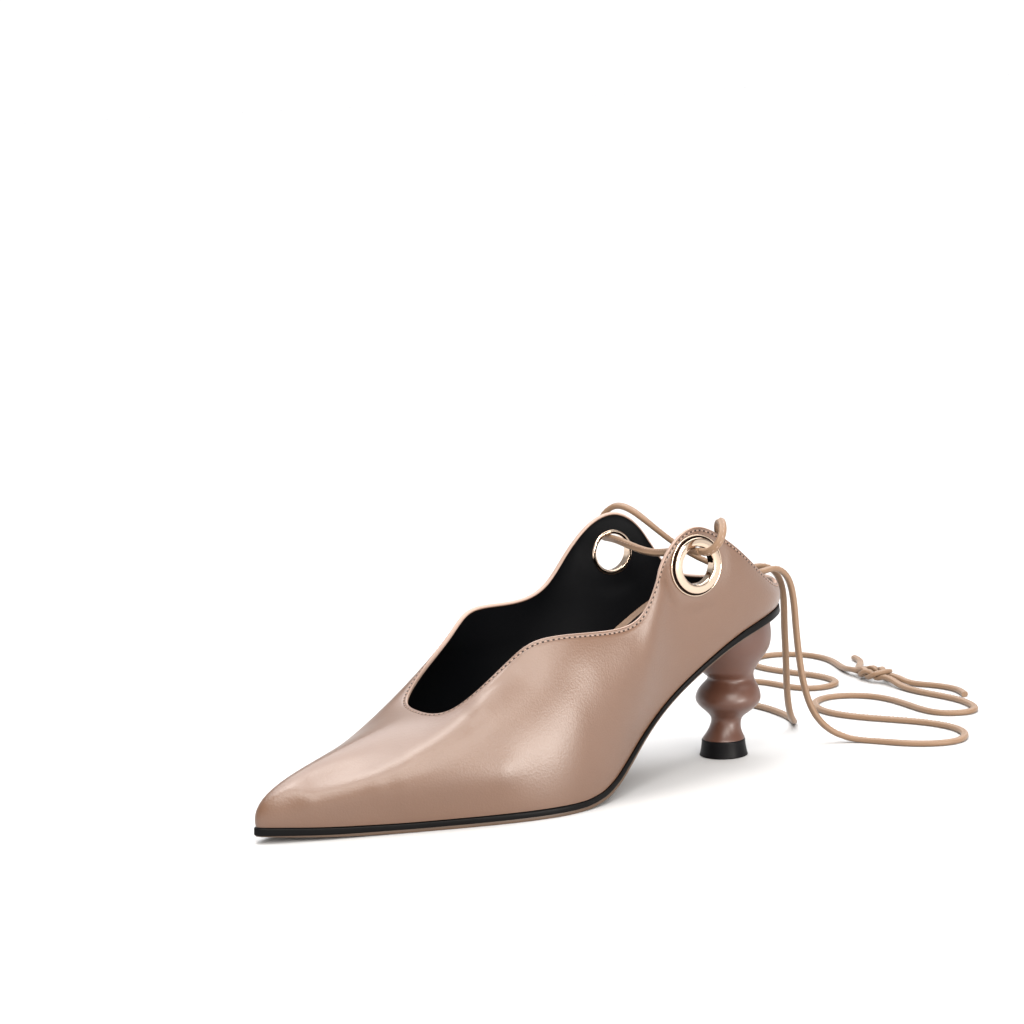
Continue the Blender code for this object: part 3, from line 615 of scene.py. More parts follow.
# Thickness of the sole's two layers, as shares of the sole's thickness.
SOLE_EDGE = table(
    ("along", "band", "tread"),
    (0.00, 0.83, 0.08), (0.10, 0.74, 0.10), (0.20, 0.50, 0.14), (0.32, 0.42, 0.18),
    (0.44, 0.56, 0.34), (0.53, 0.61, 0.39), (0.78, 0.61, 0.39), (0.90, 0.72, 0.24),
    (1.00, 0.80, 0.10),
)


@dataclass
class Last:
    """The form that the shoe is made on, worked out from a few sizes and the tables above."""

    length: float = 0.2345
    ball_half: float = 0.0400
    seat_back: float = 0.0230
    seat_rise: float = 0.0578
    ear_rise: float = 0.0575
    tread: float = 0.0036
    wall: float = 0.0017
    gap: float = 0.0003
    toe_gather: float = 0.5
    side_overrun: float = 0.04
    side_points: int = 700
    loop_points: int = 2001
    rib_points: int = 240
    low_wall_share: float = 0.6
    low_wall_plain: float = 0.5
    pressed_flat: float = 0.0128
    pressed_edge: float = 0.0190
    eyelet_drop: dict = field(default_factory=lambda: {Side.LATERAL: 0.0142,
                                                       Side.MEDIAL: 0.0157})

    def __post_init__(self) -> None:
        """Work out the sole line, the outline and the eyelets' places."""
        along = np.linspace(-self.side_overrun, 1 + self.side_overrun, self.side_points)
        self.side_y = self.seat_back - along * self.length
        self.side_z = self.tread + self.seat_rise * level_cubic(SOLE_LINE["along"],
                                                                SOLE_LINE["rise"], along)
        slope = np.gradient(self.side_z, self.side_y)
        self.side_normal = unit(np.stack([-slope, np.ones_like(slope)], axis=1))
        self.outline()
        self.eyelets = {side: self.eyelet(side) for side in Side}

    def height(self, y: Array, above: float = 0.0) -> Array:
        """Height of the line that lies above the sole line, square to it.

        Args:
            y: where to read it.
            above: its distance from the sole line.

        Returns:
            The height at each y.
        """
        line_y = (self.side_y + self.side_normal[:, 0] * above)[::-1]
        line_z = (self.side_z + self.side_normal[:, 1] * above)[::-1]
        return np.interp(y, line_y, line_z)

    def layer(self, name: str, y: Array) -> Array:
        """A column of the sole's edge table read at y, a share of the sole's thickness."""
        along = (self.seat_back - np.asarray(y)) / self.length
        return level_cubic(SOLE_EDGE["along"], SOLE_EDGE[name], along)

    def band(self, y: Array) -> Array:
        """Thickness of the sole's black band at y."""
        return self.tread * self.layer("band", y)

    def band_and_tread(self, y: Array) -> Array:
        """Thickness of band and tread together at y."""
        return self.tread * (self.layer("band", y) + self.layer("tread", y))

    def underside(self, y: Array) -> Array:
        """Height of the sole's lower face.

        Args:
            y: where to read it.

        Returns:
            The height at each y.
        """
        depth = self.band_and_tread(self.side_y)
        line_y = self.side_y - self.side_normal[:, 0] * depth
        line_z = self.side_z - self.side_normal[:, 1] * depth
        return np.interp(y, line_y[::-1], line_z[::-1])

    def carried(self, xy: Array, above: Array | float) -> Array:
        """Carry points of the outline above the sole line, square to it.

        Args:
            xy: the points as rows of x and y.
            above: the distance from the sole line, one number or one for each point.

        Returns:
            The points as rows of x, y and z.
        """
        y = xy[:, 1]
        ny, nz = (np.interp(y, self.side_y[::-1], part[::-1]) for part in self.side_normal.T)
        return np.column_stack([xy[:, 0], y + ny * above, self.height(y) + nz * above])

    def outline(self) -> None:
        """Work out the closed feather line, its running length and its outward directions."""
        lateral, medial = LATERAL_OUTLINE, MEDIAL_OUTLINE
        along = np.r_[lateral["along"], medial["along"][::-1], lateral["along"][0]]
        across = np.r_[lateral["across"], -medial["across"][::-1], lateral["across"][0]]
        points = np.stack([across * self.ball_half, self.seat_back - along * self.length], axis=1)
        knots = chord(points)
        self.loop = natural_cubic(knots, points, np.linspace(0, knots[-1], self.loop_points),
                                  closed=True)
        self.toe = int(np.argmin(self.loop[:, 1]))
        self.loop_run = chord(self.loop)
        tangent = unit(np.roll(self.loop[:-1], -1, axis=0) - np.roll(self.loop[:-1], 1, axis=0))
        tangent = np.vstack([tangent, tangent[:1]])
        self.loop_out = np.stack([-tangent[:, 1], tangent[:, 0]], axis=1)

    def outline_at(self, share: Array) -> tuple[Array, Array]:
        """Read the loop at a share of its way: 0 at the back, 1 at the toe, 2 at the back again.

        Args:
            share: the shares.

        Returns:
            The point and the outward direction at each.
        """
        toe_run = self.loop_run[self.toe]
        at = np.where(share <= 1, share * toe_run,
                      toe_run + (share - 1) * (self.loop_run[-1] - toe_run))
        parts = [np.interp(at, self.loop_run, part) for part in (*self.loop.T, *self.loop_out.T)]
        return np.stack(parts[:2], axis=1), unit(np.stack(parts[2:], axis=1))

    def share_of(self, side: Side, along: Array) -> Array:
        """Share of the loop at which one side of the outline has come this far along.

        Args:
            side: which side.
            along: distances from the back, as shares of the length.

        Returns:
            The shares of the loop.
        """
        half = self.loop[:self.toe + 1] if side is Side.LATERAL else self.loop[:self.toe - 1:-1]
        run = chord(half)
        share = np.interp(along, (self.seat_back - half[:, 1]) / self.length, run / run[-1])
        return share if side is Side.LATERAL else 2 - share

    def ribs(self, columns: int) -> list[Array]:
        """The four control points of each rib of the upper, round the shoe.

        The ribs of the tables are splined round the loop. Each column is then a cubic from
        the feather line to the topline.

        Args:
            columns: how many ribs, an even number.

        Returns:
            Foot, its handle, the top's handle and the top, as arrays of columns by 3.
        """
        lateral, medial = LATERAL_RIBS, MEDIAL_RIBS
        share = np.r_[self.share_of(Side.LATERAL, lateral["foot"]),
                      self.share_of(Side.MEDIAL, medial["foot"][::-1]), 2.0]
        share[0], share[len(lateral["foot"]) - 1] = 0.0, 1.0
        rib = {name: np.r_[lateral[name], medial[name][::-1], lateral[name][0]]
               for name in RIB_COLUMNS}
        side = np.r_[np.ones(len(lateral["foot"])), -np.ones(len(medial["foot"])), 1.0]
        top_y = self.seat_back - rib["top"] * self.length
        top = np.stack([side * rib["across"] * self.ball_half, top_y,
                        self.height(top_y) + rib["above"] * self.ear_rise], axis=1)
        handles = np.stack([rib["belly"] * self.ball_half, rib["rise"] * self.ear_rise,
                            side * rib["lean_across"] * self.ball_half,
                            -rib["lean_along"] * self.length, -rib["drop"] * self.ear_rise], axis=1)
        knots = chord(top) + np.diff(share, prepend=0).cumsum() * self.length
        toe_knot = knots[len(lateral["foot"]) - 1]
        step = np.linspace(0, 1, columns // 2, endpoint=False)
        gather = self.toe_gather * np.sin(math.pi * step) / math.pi
        at = np.r_[toe_knot * (step + gather),
                   toe_knot + (knots[-1] - toe_knot) * (step - gather)]
        foot_share = natural_cubic(knots, share[:, None], at)[:, 0]
        read = natural_cubic(knots, np.hstack([top, handles]), at, closed=True)
        foot, outward = self.outline_at(np.clip(foot_share, 0, 2))
        start = np.column_stack([foot, self.height(foot[:, 1], self.gap)])
        leave = start + np.column_stack([outward * read[:, 3:4], read[:, 4]])
        return [start, leave, read[:, :3] + read[:, 5:8], read[:, :3]]

    @staticmethod
    def along_ribs(ribs: list[Array], u: Array) -> Array:
        """Points of the ribs' cubics.

        Args:
            ribs: the four control points of each.
            u: the parameter, rows by columns.

        Returns:
            The points, rows by columns by 3.
        """
        u = u[..., None]
        a, b, c, d = ribs
        return (1 - u) ** 3 * a + 3 * u * (1 - u) ** 2 * b + 3 * u ** 2 * (1 - u) * c + u ** 3 * d

    def wall_grid(self, columns: int, rows: int) -> Array:
        """The wall's outer face with even parameter steps, before it is pressed flat."""
        u = np.repeat(np.linspace(0, 1, rows)[:, None], columns, axis=1)
        return self.along_ribs(self.ribs(columns), u)

    @staticmethod
    def normals(grid: Array) -> Array:
        """Outward normals of a grid whose rows run round the shoe and climb."""
        around = np.roll(grid, -1, axis=1) - np.roll(grid, 1, axis=1)
        return unit(np.cross(np.gradient(grid, axis=0), around))

    def eyelet(self, side: Side) -> tuple[Array, Array]:
        """Centre on the outer face and outward direction of an eyelet.

        It sits under the highest point of its ear, a set length down the leather.

        Args:
            side: which ear.

        Returns:
            The centre and the direction.
        """
        columns, rows = 400, 120
        grid = self.wall_grid(columns, rows)
        normals = self.normals(grid)
        start = 0 if side is Side.LATERAL else columns // 2
        column = start + int(np.argmax(grid[-1, start:start + columns // 2, 2]))
        line = grid[::-1, column]
        row = rows - 1 - int(np.searchsorted(chord(line), self.eyelet_drop[side]))
        return grid[row, column], normals[row, column]

    def press(self, grid: Array) -> Array:
        """Press the wall flat round each eyelet, easing off outside it.

        Args:
            grid: points of the wall.

        Returns:
            The pressed points.
        """
        for centre, outward in self.eyelets.values():
            offset = grid - centre
            proud = offset @ outward
            radius = np.linalg.norm(offset - proud[..., None] * outward, axis=-1)
            share = 1 - ease(self.pressed_flat, self.pressed_edge, radius)
            share = share * (np.abs(proud) < self.pressed_flat)
            grid = grid - (share * proud)[..., None] * outward
        return grid

    def fine_wall(self, columns: int, from_top: Array, lower_rows: int) -> tuple[Array, Array]:
        """The wall with rows at set lengths below the topline, then even ones to the feather.

        Where the wall is low, the set lengths are squeezed together. Each column is read at its
        running length; the columns are laid end to end on one rising scale, so one reading
        serves them all.

        Args:
            columns: points round the shoe.
            from_top: lengths down the leather, from 0.
            lower_rows: rows between the last of them and the feather line.

        Returns:
            The pressed grid, feather row first, and each point's length below the topline.
        """
        ribs = self.ribs(columns)
        dense = np.linspace(1, 0, self.rib_points)
        u = np.repeat(dense[:, None], columns, axis=1)
        line = self.along_ribs(ribs, u)
        run = np.concatenate([np.zeros((1, columns)),
                              np.cumsum(np.linalg.norm(np.diff(line, axis=0), axis=2), axis=0)])
        total = run[-1]
        length = from_top[:, None]
        upper = np.minimum(length, total * self.low_wall_share * length / from_top[-1])
        upper = np.maximum(upper, np.minimum(length, total * self.low_wall_plain))
        share = np.linspace(0, 1, lower_rows + 1)[1:, None]
        wanted = np.vstack([upper, upper[-1] + (total - upper[-1]) * share])
        column = np.arange(columns)
        almost = 1 - 1e-6
        key = (column + run / total * almost).T.ravel()
        target = column + wanted / total * almost
        read = np.interp(target.ravel(), key, np.tile(dense, columns)).reshape(wanted.shape)
        return self.press(self.along_ribs(ribs, read))[::-1], wanted[::-1]


# Upper

@dataclass(frozen=True)
class Crease:
    """A soft trough or ridge pressed into the leather between two points, in millimetres."""

    start: tuple[float, float, float]
    end: tuple[float, float, float]
    width: float
    depth: float

    def push(self, grid: Array) -> Array:
        """How far each point goes in: a bell across the line, easing off at its ends.

        Args:
            grid: the points.

        Returns:
            The depths in metres, negative where the leather rises.
        """
        a, b = np.array(self.start) * MM, np.array(self.end) * MM
        along = b - a
        t = (grid - a) @ along / (along @ along)
        near = np.linalg.norm(grid - a - np.clip(t, 0, 1)[..., None] * along, axis=-1)
        return self.depth * MM * np.exp(-(near / (self.width * MM)) ** 2)


@dataclass
class Upper:
    """The upper: glazed leather with a folded topline, a black lining, and a row of stitches.

    The forms push the whole wall, with its lining and stitches. The creases go into the
    leather's face alone.
    """

    last: Last
    columns: int = 640
    top_band: float = 0.0048
    top_rows: int = 15
    lower_rows: int = 62
    leather: float = 0.00095
    fold_radius: float = 0.0005
    fold_steps: int = 9
    rim_rows: int = 3
    back_step: int = 6
    lining_below_top: float = 0.00025
    lining_front: float = 0.00004
    lining_back: float = 0.00006
    lining_front_step: int = 4
    lining_back_step: int = 2
    stitch_inset: float = 0.0011
    stitch_pitch: float = 0.0021
    stitch_half: float = 0.00066
    stitch_arch: float = 0.00010
    thread_half: float = 0.00024
    thread_flat: float = 0.8
    needle_half: tuple[float, float, float] = (0.00050, 0.00042, 0.00012)
    groove_depth: float = 0.00016
    groove_half: float = 0.00055
    hole_radius: float = 0.0082
    hole_reach: float = 0.006
    hole_sides: int = 72
    push_from: float = 0.0015
    push_full: float = 0.006
    still_under_flange: float = 0.013
    free_of_flange: float = 0.018
    forms: tuple[Crease, ...] = (
        Crease((9.7, -193, 16), (18.7, -172, 18), 6.0, -0.9),
        Crease((24.0, -161, 18.2), (36.0, -128, 19), 8.0, -1.2),
        Crease((7.9, -190, 21), (14.5, -171, 26.5), 6.0, 0.8),
        Crease((18.5, -161, 30.0), (26.0, -137, 40.5), 8.0, 1.3),
        Crease((27.5, -125, 47.0), (28.5, -114, 52.5), 8.0, 0.6),
    )
    creases: tuple[Crease, ...] = (
        Crease((12, -148, 44), (-6, -151, 43), 2.2, 0.22),
        Crease((17, -150, 38), (2, -157, 40), 2.6, 0.18),
        Crease((31, -62, 60), (30, -70, 38), 5.0, 0.45),
        Crease((27, -46, 72), (30, -60, 55), 4.5, 0.35),
        Crease((24, -8, 72), (25.5, -22, 66), 3.5, 0.25),
        Crease((33, -92, 48), (36, -84, 26), 7.0, 0.30),
    )

    def build(self) -> None:
        """Make the leather, the lining and the stitches."""
        from_top = np.linspace(0, self.top_band, self.top_rows)
        grid, below = self.last.fine_wall(self.columns, from_top, self.lower_rows)
        free = ease(self.push_from, self.push_full, below)
        shape = sum(form.push(grid) for form in self.forms) * free
        grid = grid - shape[..., None] * self.last.normals(grid)
        normals = self.last.normals(grid)
        push = sum(crease.push(grid) for crease in self.creases)
        push = push * free * self.away_from_eyelets(grid)
        groove = np.exp(-((below - self.stitch_inset) / self.groove_half) ** 2)
        outer = grid - (push + self.groove_depth * groove)[..., None] * normals
        self.make_leather(outer, grid, normals)
        self.make_lining(grid, normals, below)
        self.make_stitches(outer, normals, below)

    def away_from_eyelets(self, grid: Array) -> Array:
        """How free the leather is of the eyelets' flanges.

        Args:
            grid: points of the wall.

        Returns:
            0 under a flange, rising to 1 away from both.
        """
        free = np.ones(grid.shape[:2])
        for centre, _ in self.last.eyelets.values():
            distance = np.linalg.norm(grid - centre, axis=-1)
            free = free * ease(self.still_under_flange, self.free_of_flange, distance)
        return free

    def make_leather(self, outer: Array, grid: Array, normals: Array) -> None:
        """The leather: its face, a round fold over the top, and its back.

        The fold is a half turn from the face to the back of the wall's top edge, so a rim shows
        above the lining; its faces are paler, a painted highlight. The back ends at the feather
        line.

        Args:
            outer: the face, creases and groove in it.
            grid: the plain wall.
            normals: its outward directions.
        """
        top, n = grid[-1], normals[-1]
        up = unit(top - grid[-3])
        half = self.last.wall / 2
        turn = np.linspace(0, math.pi, self.fold_steps)[1:, None, None]
        centre = top - n * half
        fold = centre + n * half * np.cos(turn) + up * self.fold_radius * np.sin(turn)
        rim = (grid - normals * self.last.wall)[::-1][1:self.rim_rows]
        lower = (grid - normals * self.leather)[::-1][self.rim_rows::self.back_step]
        lower[-1, :, 2] = self.last.height(lower[-1, :, 1], self.last.gap)
        rings = np.concatenate([outer, fold, rim, lower])
        faces = grid_faces(len(rings), self.columns, True, True)
        strip = np.arange(len(rings)) - len(outer)
        # The fold's faces take the paler finish: a painted highlight.
        folded = np.repeat((strip >= 0) & (strip < len(fold) - 1), self.columns)
        piece = make_piece("upper_leather", rings, faces,
                           [NUDE_CALF.build(), FOLD_HIGHLIGHT.build()], folded)
        self.cut_holes(piece)
        adopt(piece, Slot.UPPER, "upper")

    def make_lining(self, grid: Array, normals: Array, below: Array) -> None:
        """The lining: a thin shell against the leather's back, ending under the fold.

        Args:
            grid: the plain wall.
            normals: its outward directions.
            below: each point's length below the topline.
        """
        rows = below[:, 0] > self.lining_below_top
        wall, n = grid[rows], normals[rows]
        front = wall - n * (self.leather + self.lining_front)
        back = wall - n * (self.last.wall + self.lining_back)
        for layer in (front, back):
            layer[0, :, 2] = self.last.height(layer[0, :, 1], self.last.gap)
        rings = np.concatenate([front[::self.lining_front_step], front[-1:],
                                back[::-self.lining_back_step], back[:1]])
        faces = grid_faces(len(rings), self.columns, True, True)
        piece = make_piece("upper_lining", rings, faces, [BLACK_LINING.build()])
        self.cut_holes(piece)
        adopt(piece, Slot.UPPER)

    def cut_holes(self, piece: bpy.types.Object) -> None:
        """Cut both eyelet holes through a shell, each with a round plug.

        Args:
            piece: the shell.
        """
        radius, reach = self.hole_radius, self.hole_reach
        section = np.array([[0, -reach], [radius, -reach], [radius, reach], [0, reach]])
        plug = turned(section, self.hole_sides).reshape(-1, 3)
        faces = grid_faces(len(section), self.hole_sides, False, True)
        for side, (centre, outward) in self.last.eyelets.items():
            cutter = make_piece("cutter", centre + plug @ frame_of(outward), faces, [])
            merge(cutter)
            cut = piece.modifiers.new(side.name, "BOOLEAN")
            cut.operation = "DIFFERENCE"
            cut.solver = "EXACT"
            cut.object = cutter
            graph = bpy.context.evaluated_depsgraph_get()
            done = bpy.data.meshes.new_from_object(piece.evaluated_get(graph))
            piece.modifiers.clear()
            piece.data = done
            bpy.data.objects.remove(cutter)

    def make_stitches(self, outer: Array, normals: Array, below: Array) -> None:
        """Stitches and needle holes along the topline, a set pitch apart.

        Args:
            outer: the leather's face.
            normals: its outward directions.
            below: each point's length below the topline.
        """
        row = int(np.argmin(np.abs(below[:, 0] - self.stitch_inset)))
        line = np.vstack([outer[row], outer[row, :1]])
        out = np.vstack([normals[row], normals[row, :1]])
        run = chord(line)
        count = int(run[-1] / self.stitch_pitch)
        at = (np.arange(count) + 0.5) * run[-1] / count
        between = at + 0.5 * run[-1] / count
        thread = (self.stitch_half, self.thread_half, self.thread_half * self.thread_flat)
        # The needle holes are small dark beans on the face: painted shade in place of the holes'
        # depth.
        seams = {"topline_stitches": (at, THREAD, thread, self.stitch_arch),
                 "topline_needle_holes": (between, NEEDLE_HOLE_SHADE, self.needle_half, 0.0)}
        for name, (places, finish, halves, arch) in seams.items():
            places = places % run[-1]
            origin, axes = along_line(line, out, run, places)
            shape, faces = bean(*halves, arch=arch)
            points, faces = repeat_shape(shape, faces, origin, axes)
            adopt(make_piece(name, points, faces, [finish.build()]), Slot.UPPER)


# Sole

@dataclass
class Sole:
    """Sole edge, tread, insole board and black sock, each a plate that follows the sole line."""

    last: Last
    points_round: int = 480
    edge_proud: float = 0.0007
    edge_corner: float = 0.00045
    edge_tuck: float = 0.0016
    tread_tuck_share: float = 0.35
    tread_lap: float = 0.00005
    tread_corner: float = 0.00012
    insole_thickness: float = 0.0018
    insole_margin: float = 0.0004
    board_corner: float = 0.0006
    sock_inset: float = 0.0022
    sock_thickness: float = 0.0004
    sock_lap: float = 0.0001
    sock_corner: float = 0.0002
    pad_sections: int = 90
    pad_fade: float = 0.4
    pad_lap: float = 0.0001
    pad_sunk: float = 0.0006
    pad_rise: float = 0.0096
    pad_width: float = 0.0150
    pad_rim: float = 0.0020
    pad_bead: float = 0.0016
    pad_lean: float = 0.36
    pad_from: float = 0.010
    pad_to: float = 0.520

    def build(self) -> None:
        """Make the four plates and the arch pad."""
        adopt(self.edge_piece(), Slot.SOLE, "outsole")
        adopt(self.tread_piece(), Slot.SOLE)
        adopt(self.board_piece(), Slot.INSOLE, "insole")
        adopt(self.sock_piece(), Slot.INSOLE)
        adopt(self.arch_pad(), Slot.INSOLE)

    def plate(self, name: str, levels: list[Level], finish: Finish) -> bpy.types.Object:
        """A plate from rings: each is the outline moved outward and carried above the sole line.

        The outline is read at even steps round it. The top and bottom are filled by quads
        from each point to the one across, all but a thin triangle at the back and at the toe.

        Args:
            name: the piece's name.
            levels: its rings from the top down.
            finish: its finish.

        Returns:
            The piece.
        """
        half = self.points_round // 2
        share = np.r_[np.linspace(0, 1, half, endpoint=False),
                      np.linspace(1, 2, half, endpoint=False)]
        line, outward = self.last.outline_at(share)
        rings = []
        for distance, above in levels:
            xy = line + outward * distance
            rings.append(self.last.carried(xy, above(xy[:, 1])))
        count = self.points_round
        i = np.arange(half)
        cap = np.stack([i, i + 1, (-i - 1) % count, (-i) % count], axis=1)
        last_ring = (len(rings) - 1) * count
        faces = np.vstack([grid_faces(len(rings), count, False, True), cap[:, ::-1],
                           cap + last_ring])
        return make_piece(name, np.stack(rings), faces, [finish.build()])

    @staticmethod
    def rounded(out: float, low: Height, high: Height, radius: float,
                steps: int = 5) -> list[Level]:
        """Levels of an edge from its top down, both its corners rounded.

        Args:
            out: how far the edge stands outside the outline.
            low: height of its lower face.
            high: height of its upper face.
            radius: of both corners.
            steps: levels in a corner.

        Returns:
            The levels.
        """
        turn = np.linspace(0, math.pi / 2, steps)
        upper = [(out - radius * (1 - math.sin(t)),
                  lambda y, t=t: high(y) - radius * (1 - math.cos(t))) for t in turn]
        lower = [(out - radius * (1 - math.cos(t)),
                  lambda y, t=t: low(y) + radius * (1 - math.sin(t))) for t in turn]
        return upper + lower

    def edge_piece(self) -> bpy.types.Object:
        """The black band, its corners worn round."""
        band = self.rounded(self.edge_proud, lambda y: -self.last.band(y), lambda y: 0 * y,
                            self.edge_corner)
        return self.plate("sole_edge", band, BLACK_EDGE)

    def tread_piece(self) -> bpy.types.Object:
        """The brown tread, tucked in under the band."""
        tread = self.rounded(self.edge_proud - self.tread_tuck_share * self.edge_tuck,
                             lambda y: -self.last.band_and_tread(y),
                             lambda y: -self.last.band(y) + self.tread_lap,
                             self.tread_corner, steps=3)
        bottom = self.edge_proud - self.edge_tuck
        tread[-1] = (bottom, lambda y: -self.last.band_and_tread(y))
        return self.plate("tread", tread, BROWN_TREAD)

    def board_piece(self) -> bpy.types.Object:
        """The insole board, covered in nude leather, its edge rolled."""
        inset = -(self.last.wall + self.insole_margin)
        top = self.last.gap + self.insole_thickness - self.sock_thickness
        board = self.rounded(inset, lambda y: self.last.gap + 0 * y, lambda y: top + 0 * y,
                             self.board_corner)
        return self.plate("insole_board", board, NUDE_BOARD)

    def sock_piece(self) -> bpy.types.Object:
        """The black sock that lies on the board, inside its rolled edge."""
        inset = -(self.last.wall + self.insole_margin + self.sock_inset)
        top = self.last.gap + self.insole_thickness
        low = top - self.sock_thickness - self.sock_lap
        sock = self.rounded(inset, lambda y: low + 0 * y, lambda y: top + 0 * y,
                            self.sock_corner, steps=3)
        return self.plate("insole_sock", sock, BLACK_LINING)

    def arch_pad(self) -> bpy.types.Object:
        """A pad that carries the insole up the inner wall at the arch, its rim bare leather.

        Each section starts at the wall, rises to the rim, and falls in an easy curve to the
        sock. The rim's height swells and fades along the arch. The pad leans outward as it
        rises, with the wall, and is sunk into the board a little.

        Returns:
            The piece.
        """
        along = np.linspace(self.pad_from, self.pad_to, self.pad_sections)
        foot, outward = self.last.outline_at(self.last.share_of(Side.MEDIAL, along))
        share = (along - self.pad_from) / (self.pad_to - self.pad_from)
        swell = np.sin(math.pi * share) ** self.pad_fade
        base = self.last.gap + self.insole_thickness - self.sock_thickness
        rim = np.r_[0.0, 0.0, 0.15, 0.4, np.linspace(0.7, self.pad_rim / MM, 7)]
        slope = np.linspace(self.pad_rim / MM + 0.2, self.pad_width / MM, 14)
        across = np.r_[rim, slope] * MM
        drop = ease(self.pad_rim, self.pad_width, across)
        bead = self.pad_bead * (1 - ease(self.pad_rim * 0.4, self.pad_rim, across))
        lift = (self.pad_rise - self.pad_bead) * (1 - drop) + bead
        rounding = [0.0, 0.85, 0.96]
        lift = lift * np.r_[rounding, np.ones(len(across) - len(rounding))]
        inset = self.last.wall + self.insole_margin + across
        high = swell[:, None] * lift[None] + self.pad_lap
        lines = []
        for depth, rise in zip(inset, high.T):
            shift = self.pad_lean * rise - depth
            lines.append(self.last.carried(foot + outward * shift[:, None], base + rise))
        for depth in inset[[-1, 0]]:
            lines.append(self.last.carried(foot - outward * depth, base - self.pad_sunk))
        grid = np.stack(lines, axis=1)
        ends = np.stack([grid[0].mean(axis=0), grid[-1].mean(axis=0)])[:, None] + 0 * grid[:1]
        rows = np.concatenate([ends[:1], grid, ends[1:]])
        faces = grid_faces(len(rows), rows.shape[1], False, True)
        column = faces[:, 0] % rows.shape[1]
        return make_piece("arch_pad", rows, faces, [BLACK_LINING.build(), NUDE_BOARD.build()],
                          column < len(rim) - 1)


# Heel

# Heights are shares of the heel's height, radii and setbacks are shares of its radius.
HEEL_PROFILE = table(
    ("height", "radius", "back"),
    (0.000, 0.445, 0.005), (0.045, 0.370, 0.032), (0.083, 0.333, 0.055),
    (0.125, 0.319, 0.085), (0.153, 0.339, 0.105), (0.195, 0.464, 0.145),
    (0.252, 0.639, 0.155), (0.294, 0.688, 0.150), (0.336, 0.669, 0.160),
    (0.379, 0.609, 0.182), (0.421, 0.520, 0.220), (0.455, 0.490, 0.228),
    (0.485, 0.535, 0.180), (0.533, 0.620, 0.155), (0.590, 0.728, 0.163),
    (0.660, 0.861, 0.165), (0.730, 0.938, 0.142), (0.810, 0.965, 0.112),
    (0.887, 0.962, 0.082), (1.004, 0.945, 0.047),
)


@dataclass
class Heel:
    """The turned heel, its rounds set back one above the other, and its top piece."""

    last: Last
    radius: float = 0.0190
    tip_height: float = 0.0067
    tip_bottom: float = 0.0097
    tip_top: float = 0.0087
    tip_sides: int = 96
    tip_corner: float = 0.0001
    tip_hollow: float = 0.65
    tip_hollow_power: float = 2.2
    sides: int = 144
    rows: int = 150
    neck_share: float = 0.5
    first_top_share: float = 0.8
    top_steps: int = 40
    top_lap: float = 0.0001
    cap_rings: int = 6
    floor_shares: tuple[float, float] = (0.0, 0.96)
    clear_share: float = 0.3

    def build(self) -> None:
        """Make both pieces."""
        adopt(self.turned_heel(), Slot.HEEL, "heel")
        adopt(self.top_piece(), Slot.TIP, "heel_tip")

    def turned_heel(self) -> bpy.types.Object:
        """Rings whose radius and setback follow the table, the top ones cut by the sole.

        Each point of the cut is where the heel's side meets the sole's underside, found by
        stepping halfway towards it again and again. Half of the rings stand level from the
        foot to the neck, and the others spread from there to the cut.

        Returns:
            The piece.
        """
        values = np.column_stack([HEEL_PROFILE["radius"], HEEL_PROFILE["back"]]) * self.radius
        base = self.tip_height + self.last.gap * self.clear_share
        foot = self.tip_height + self.last.gap
        span = self.last.seat_rise + self.last.tread - foot
        angle = np.linspace(0, 2 * math.pi, self.sides, endpoint=False)

        def round_at(z: Array) -> tuple[Array, Array]:
            """Radius and setback of the heel at each height."""
            share = np.clip((z - foot) / span, 0, HEEL_PROFILE["height"][-1])
            read = natural_cubic(HEEL_PROFILE["height"], values, share.ravel())
            return read[:, 0].reshape(z.shape), read[:, 1].reshape(z.shape)

        top = np.full(self.sides, foot + span * self.first_top_share)
        for _ in range(self.top_steps):
            radius, back = round_at(top)
            under = self.last.underside(back + radius * np.sin(angle)) + self.top_lap
            top = 0.5 * top + 0.5 * under
        share = np.linspace(0, 1, self.rows)[:, None]
        neck = foot + span * self.neck_share
        z = (base + (neck - base) * np.minimum(share * 2, 1)
             + (top - neck) * np.maximum(share * 2 - 1, 0))
        radius, back = round_at(z)
        side = np.stack([radius * np.cos(angle), back + radius * np.sin(angle), z], axis=-1)
        middle, foot_middle = side[-1].mean(axis=0), side[0].mean(axis=0)
        shrink = np.linspace(1, 0, self.cap_rings)[1:, None, None]
        cap = middle + (side[-1] - middle) * shrink
        cap[..., 2] = self.last.underside(cap[..., 1]) + self.top_lap
        floor = foot_middle + (side[0] - foot_middle) * np.array(self.floor_shares)[:, None, None]
        rings = np.concatenate([floor, side, cap])
        return make_piece("turned_heel", rings, grid_faces(len(rings), self.sides, False, True),
                          [NUDE_LACQUER.build()])

    def top_piece(self) -> bpy.types.Object:
        """A short hollow-sided cone with a flat foot and softened corners.

        Its side's radius is a straight line mixed with a power of the way down.

        Returns:
            The piece.
        """
        h, top, low, c = self.tip_height, self.tip_top, self.tip_bottom, self.tip_corner
        t = np.linspace(0, 1, 12)
        hollow = (1 - self.tip_hollow) * t + self.tip_hollow * t ** self.tip_hollow_power
        side = np.stack([top + (low - top) * hollow, (h - 3 * c) + (5 * c - h) * t], axis=1)
        profile = np.vstack([[0, h], [top - 3 * c, h], [top - c, h - c], side, [low, 3 * c],
                             [low - 2 * c, c], [low - 5 * c, 0], [0, 0]])
        return make_piece("top_piece", turned(profile, self.tip_sides),
                          grid_faces(len(profile), self.tip_sides, False, True),
                          [BLACK_RUBBER.build()])


# Eyelets

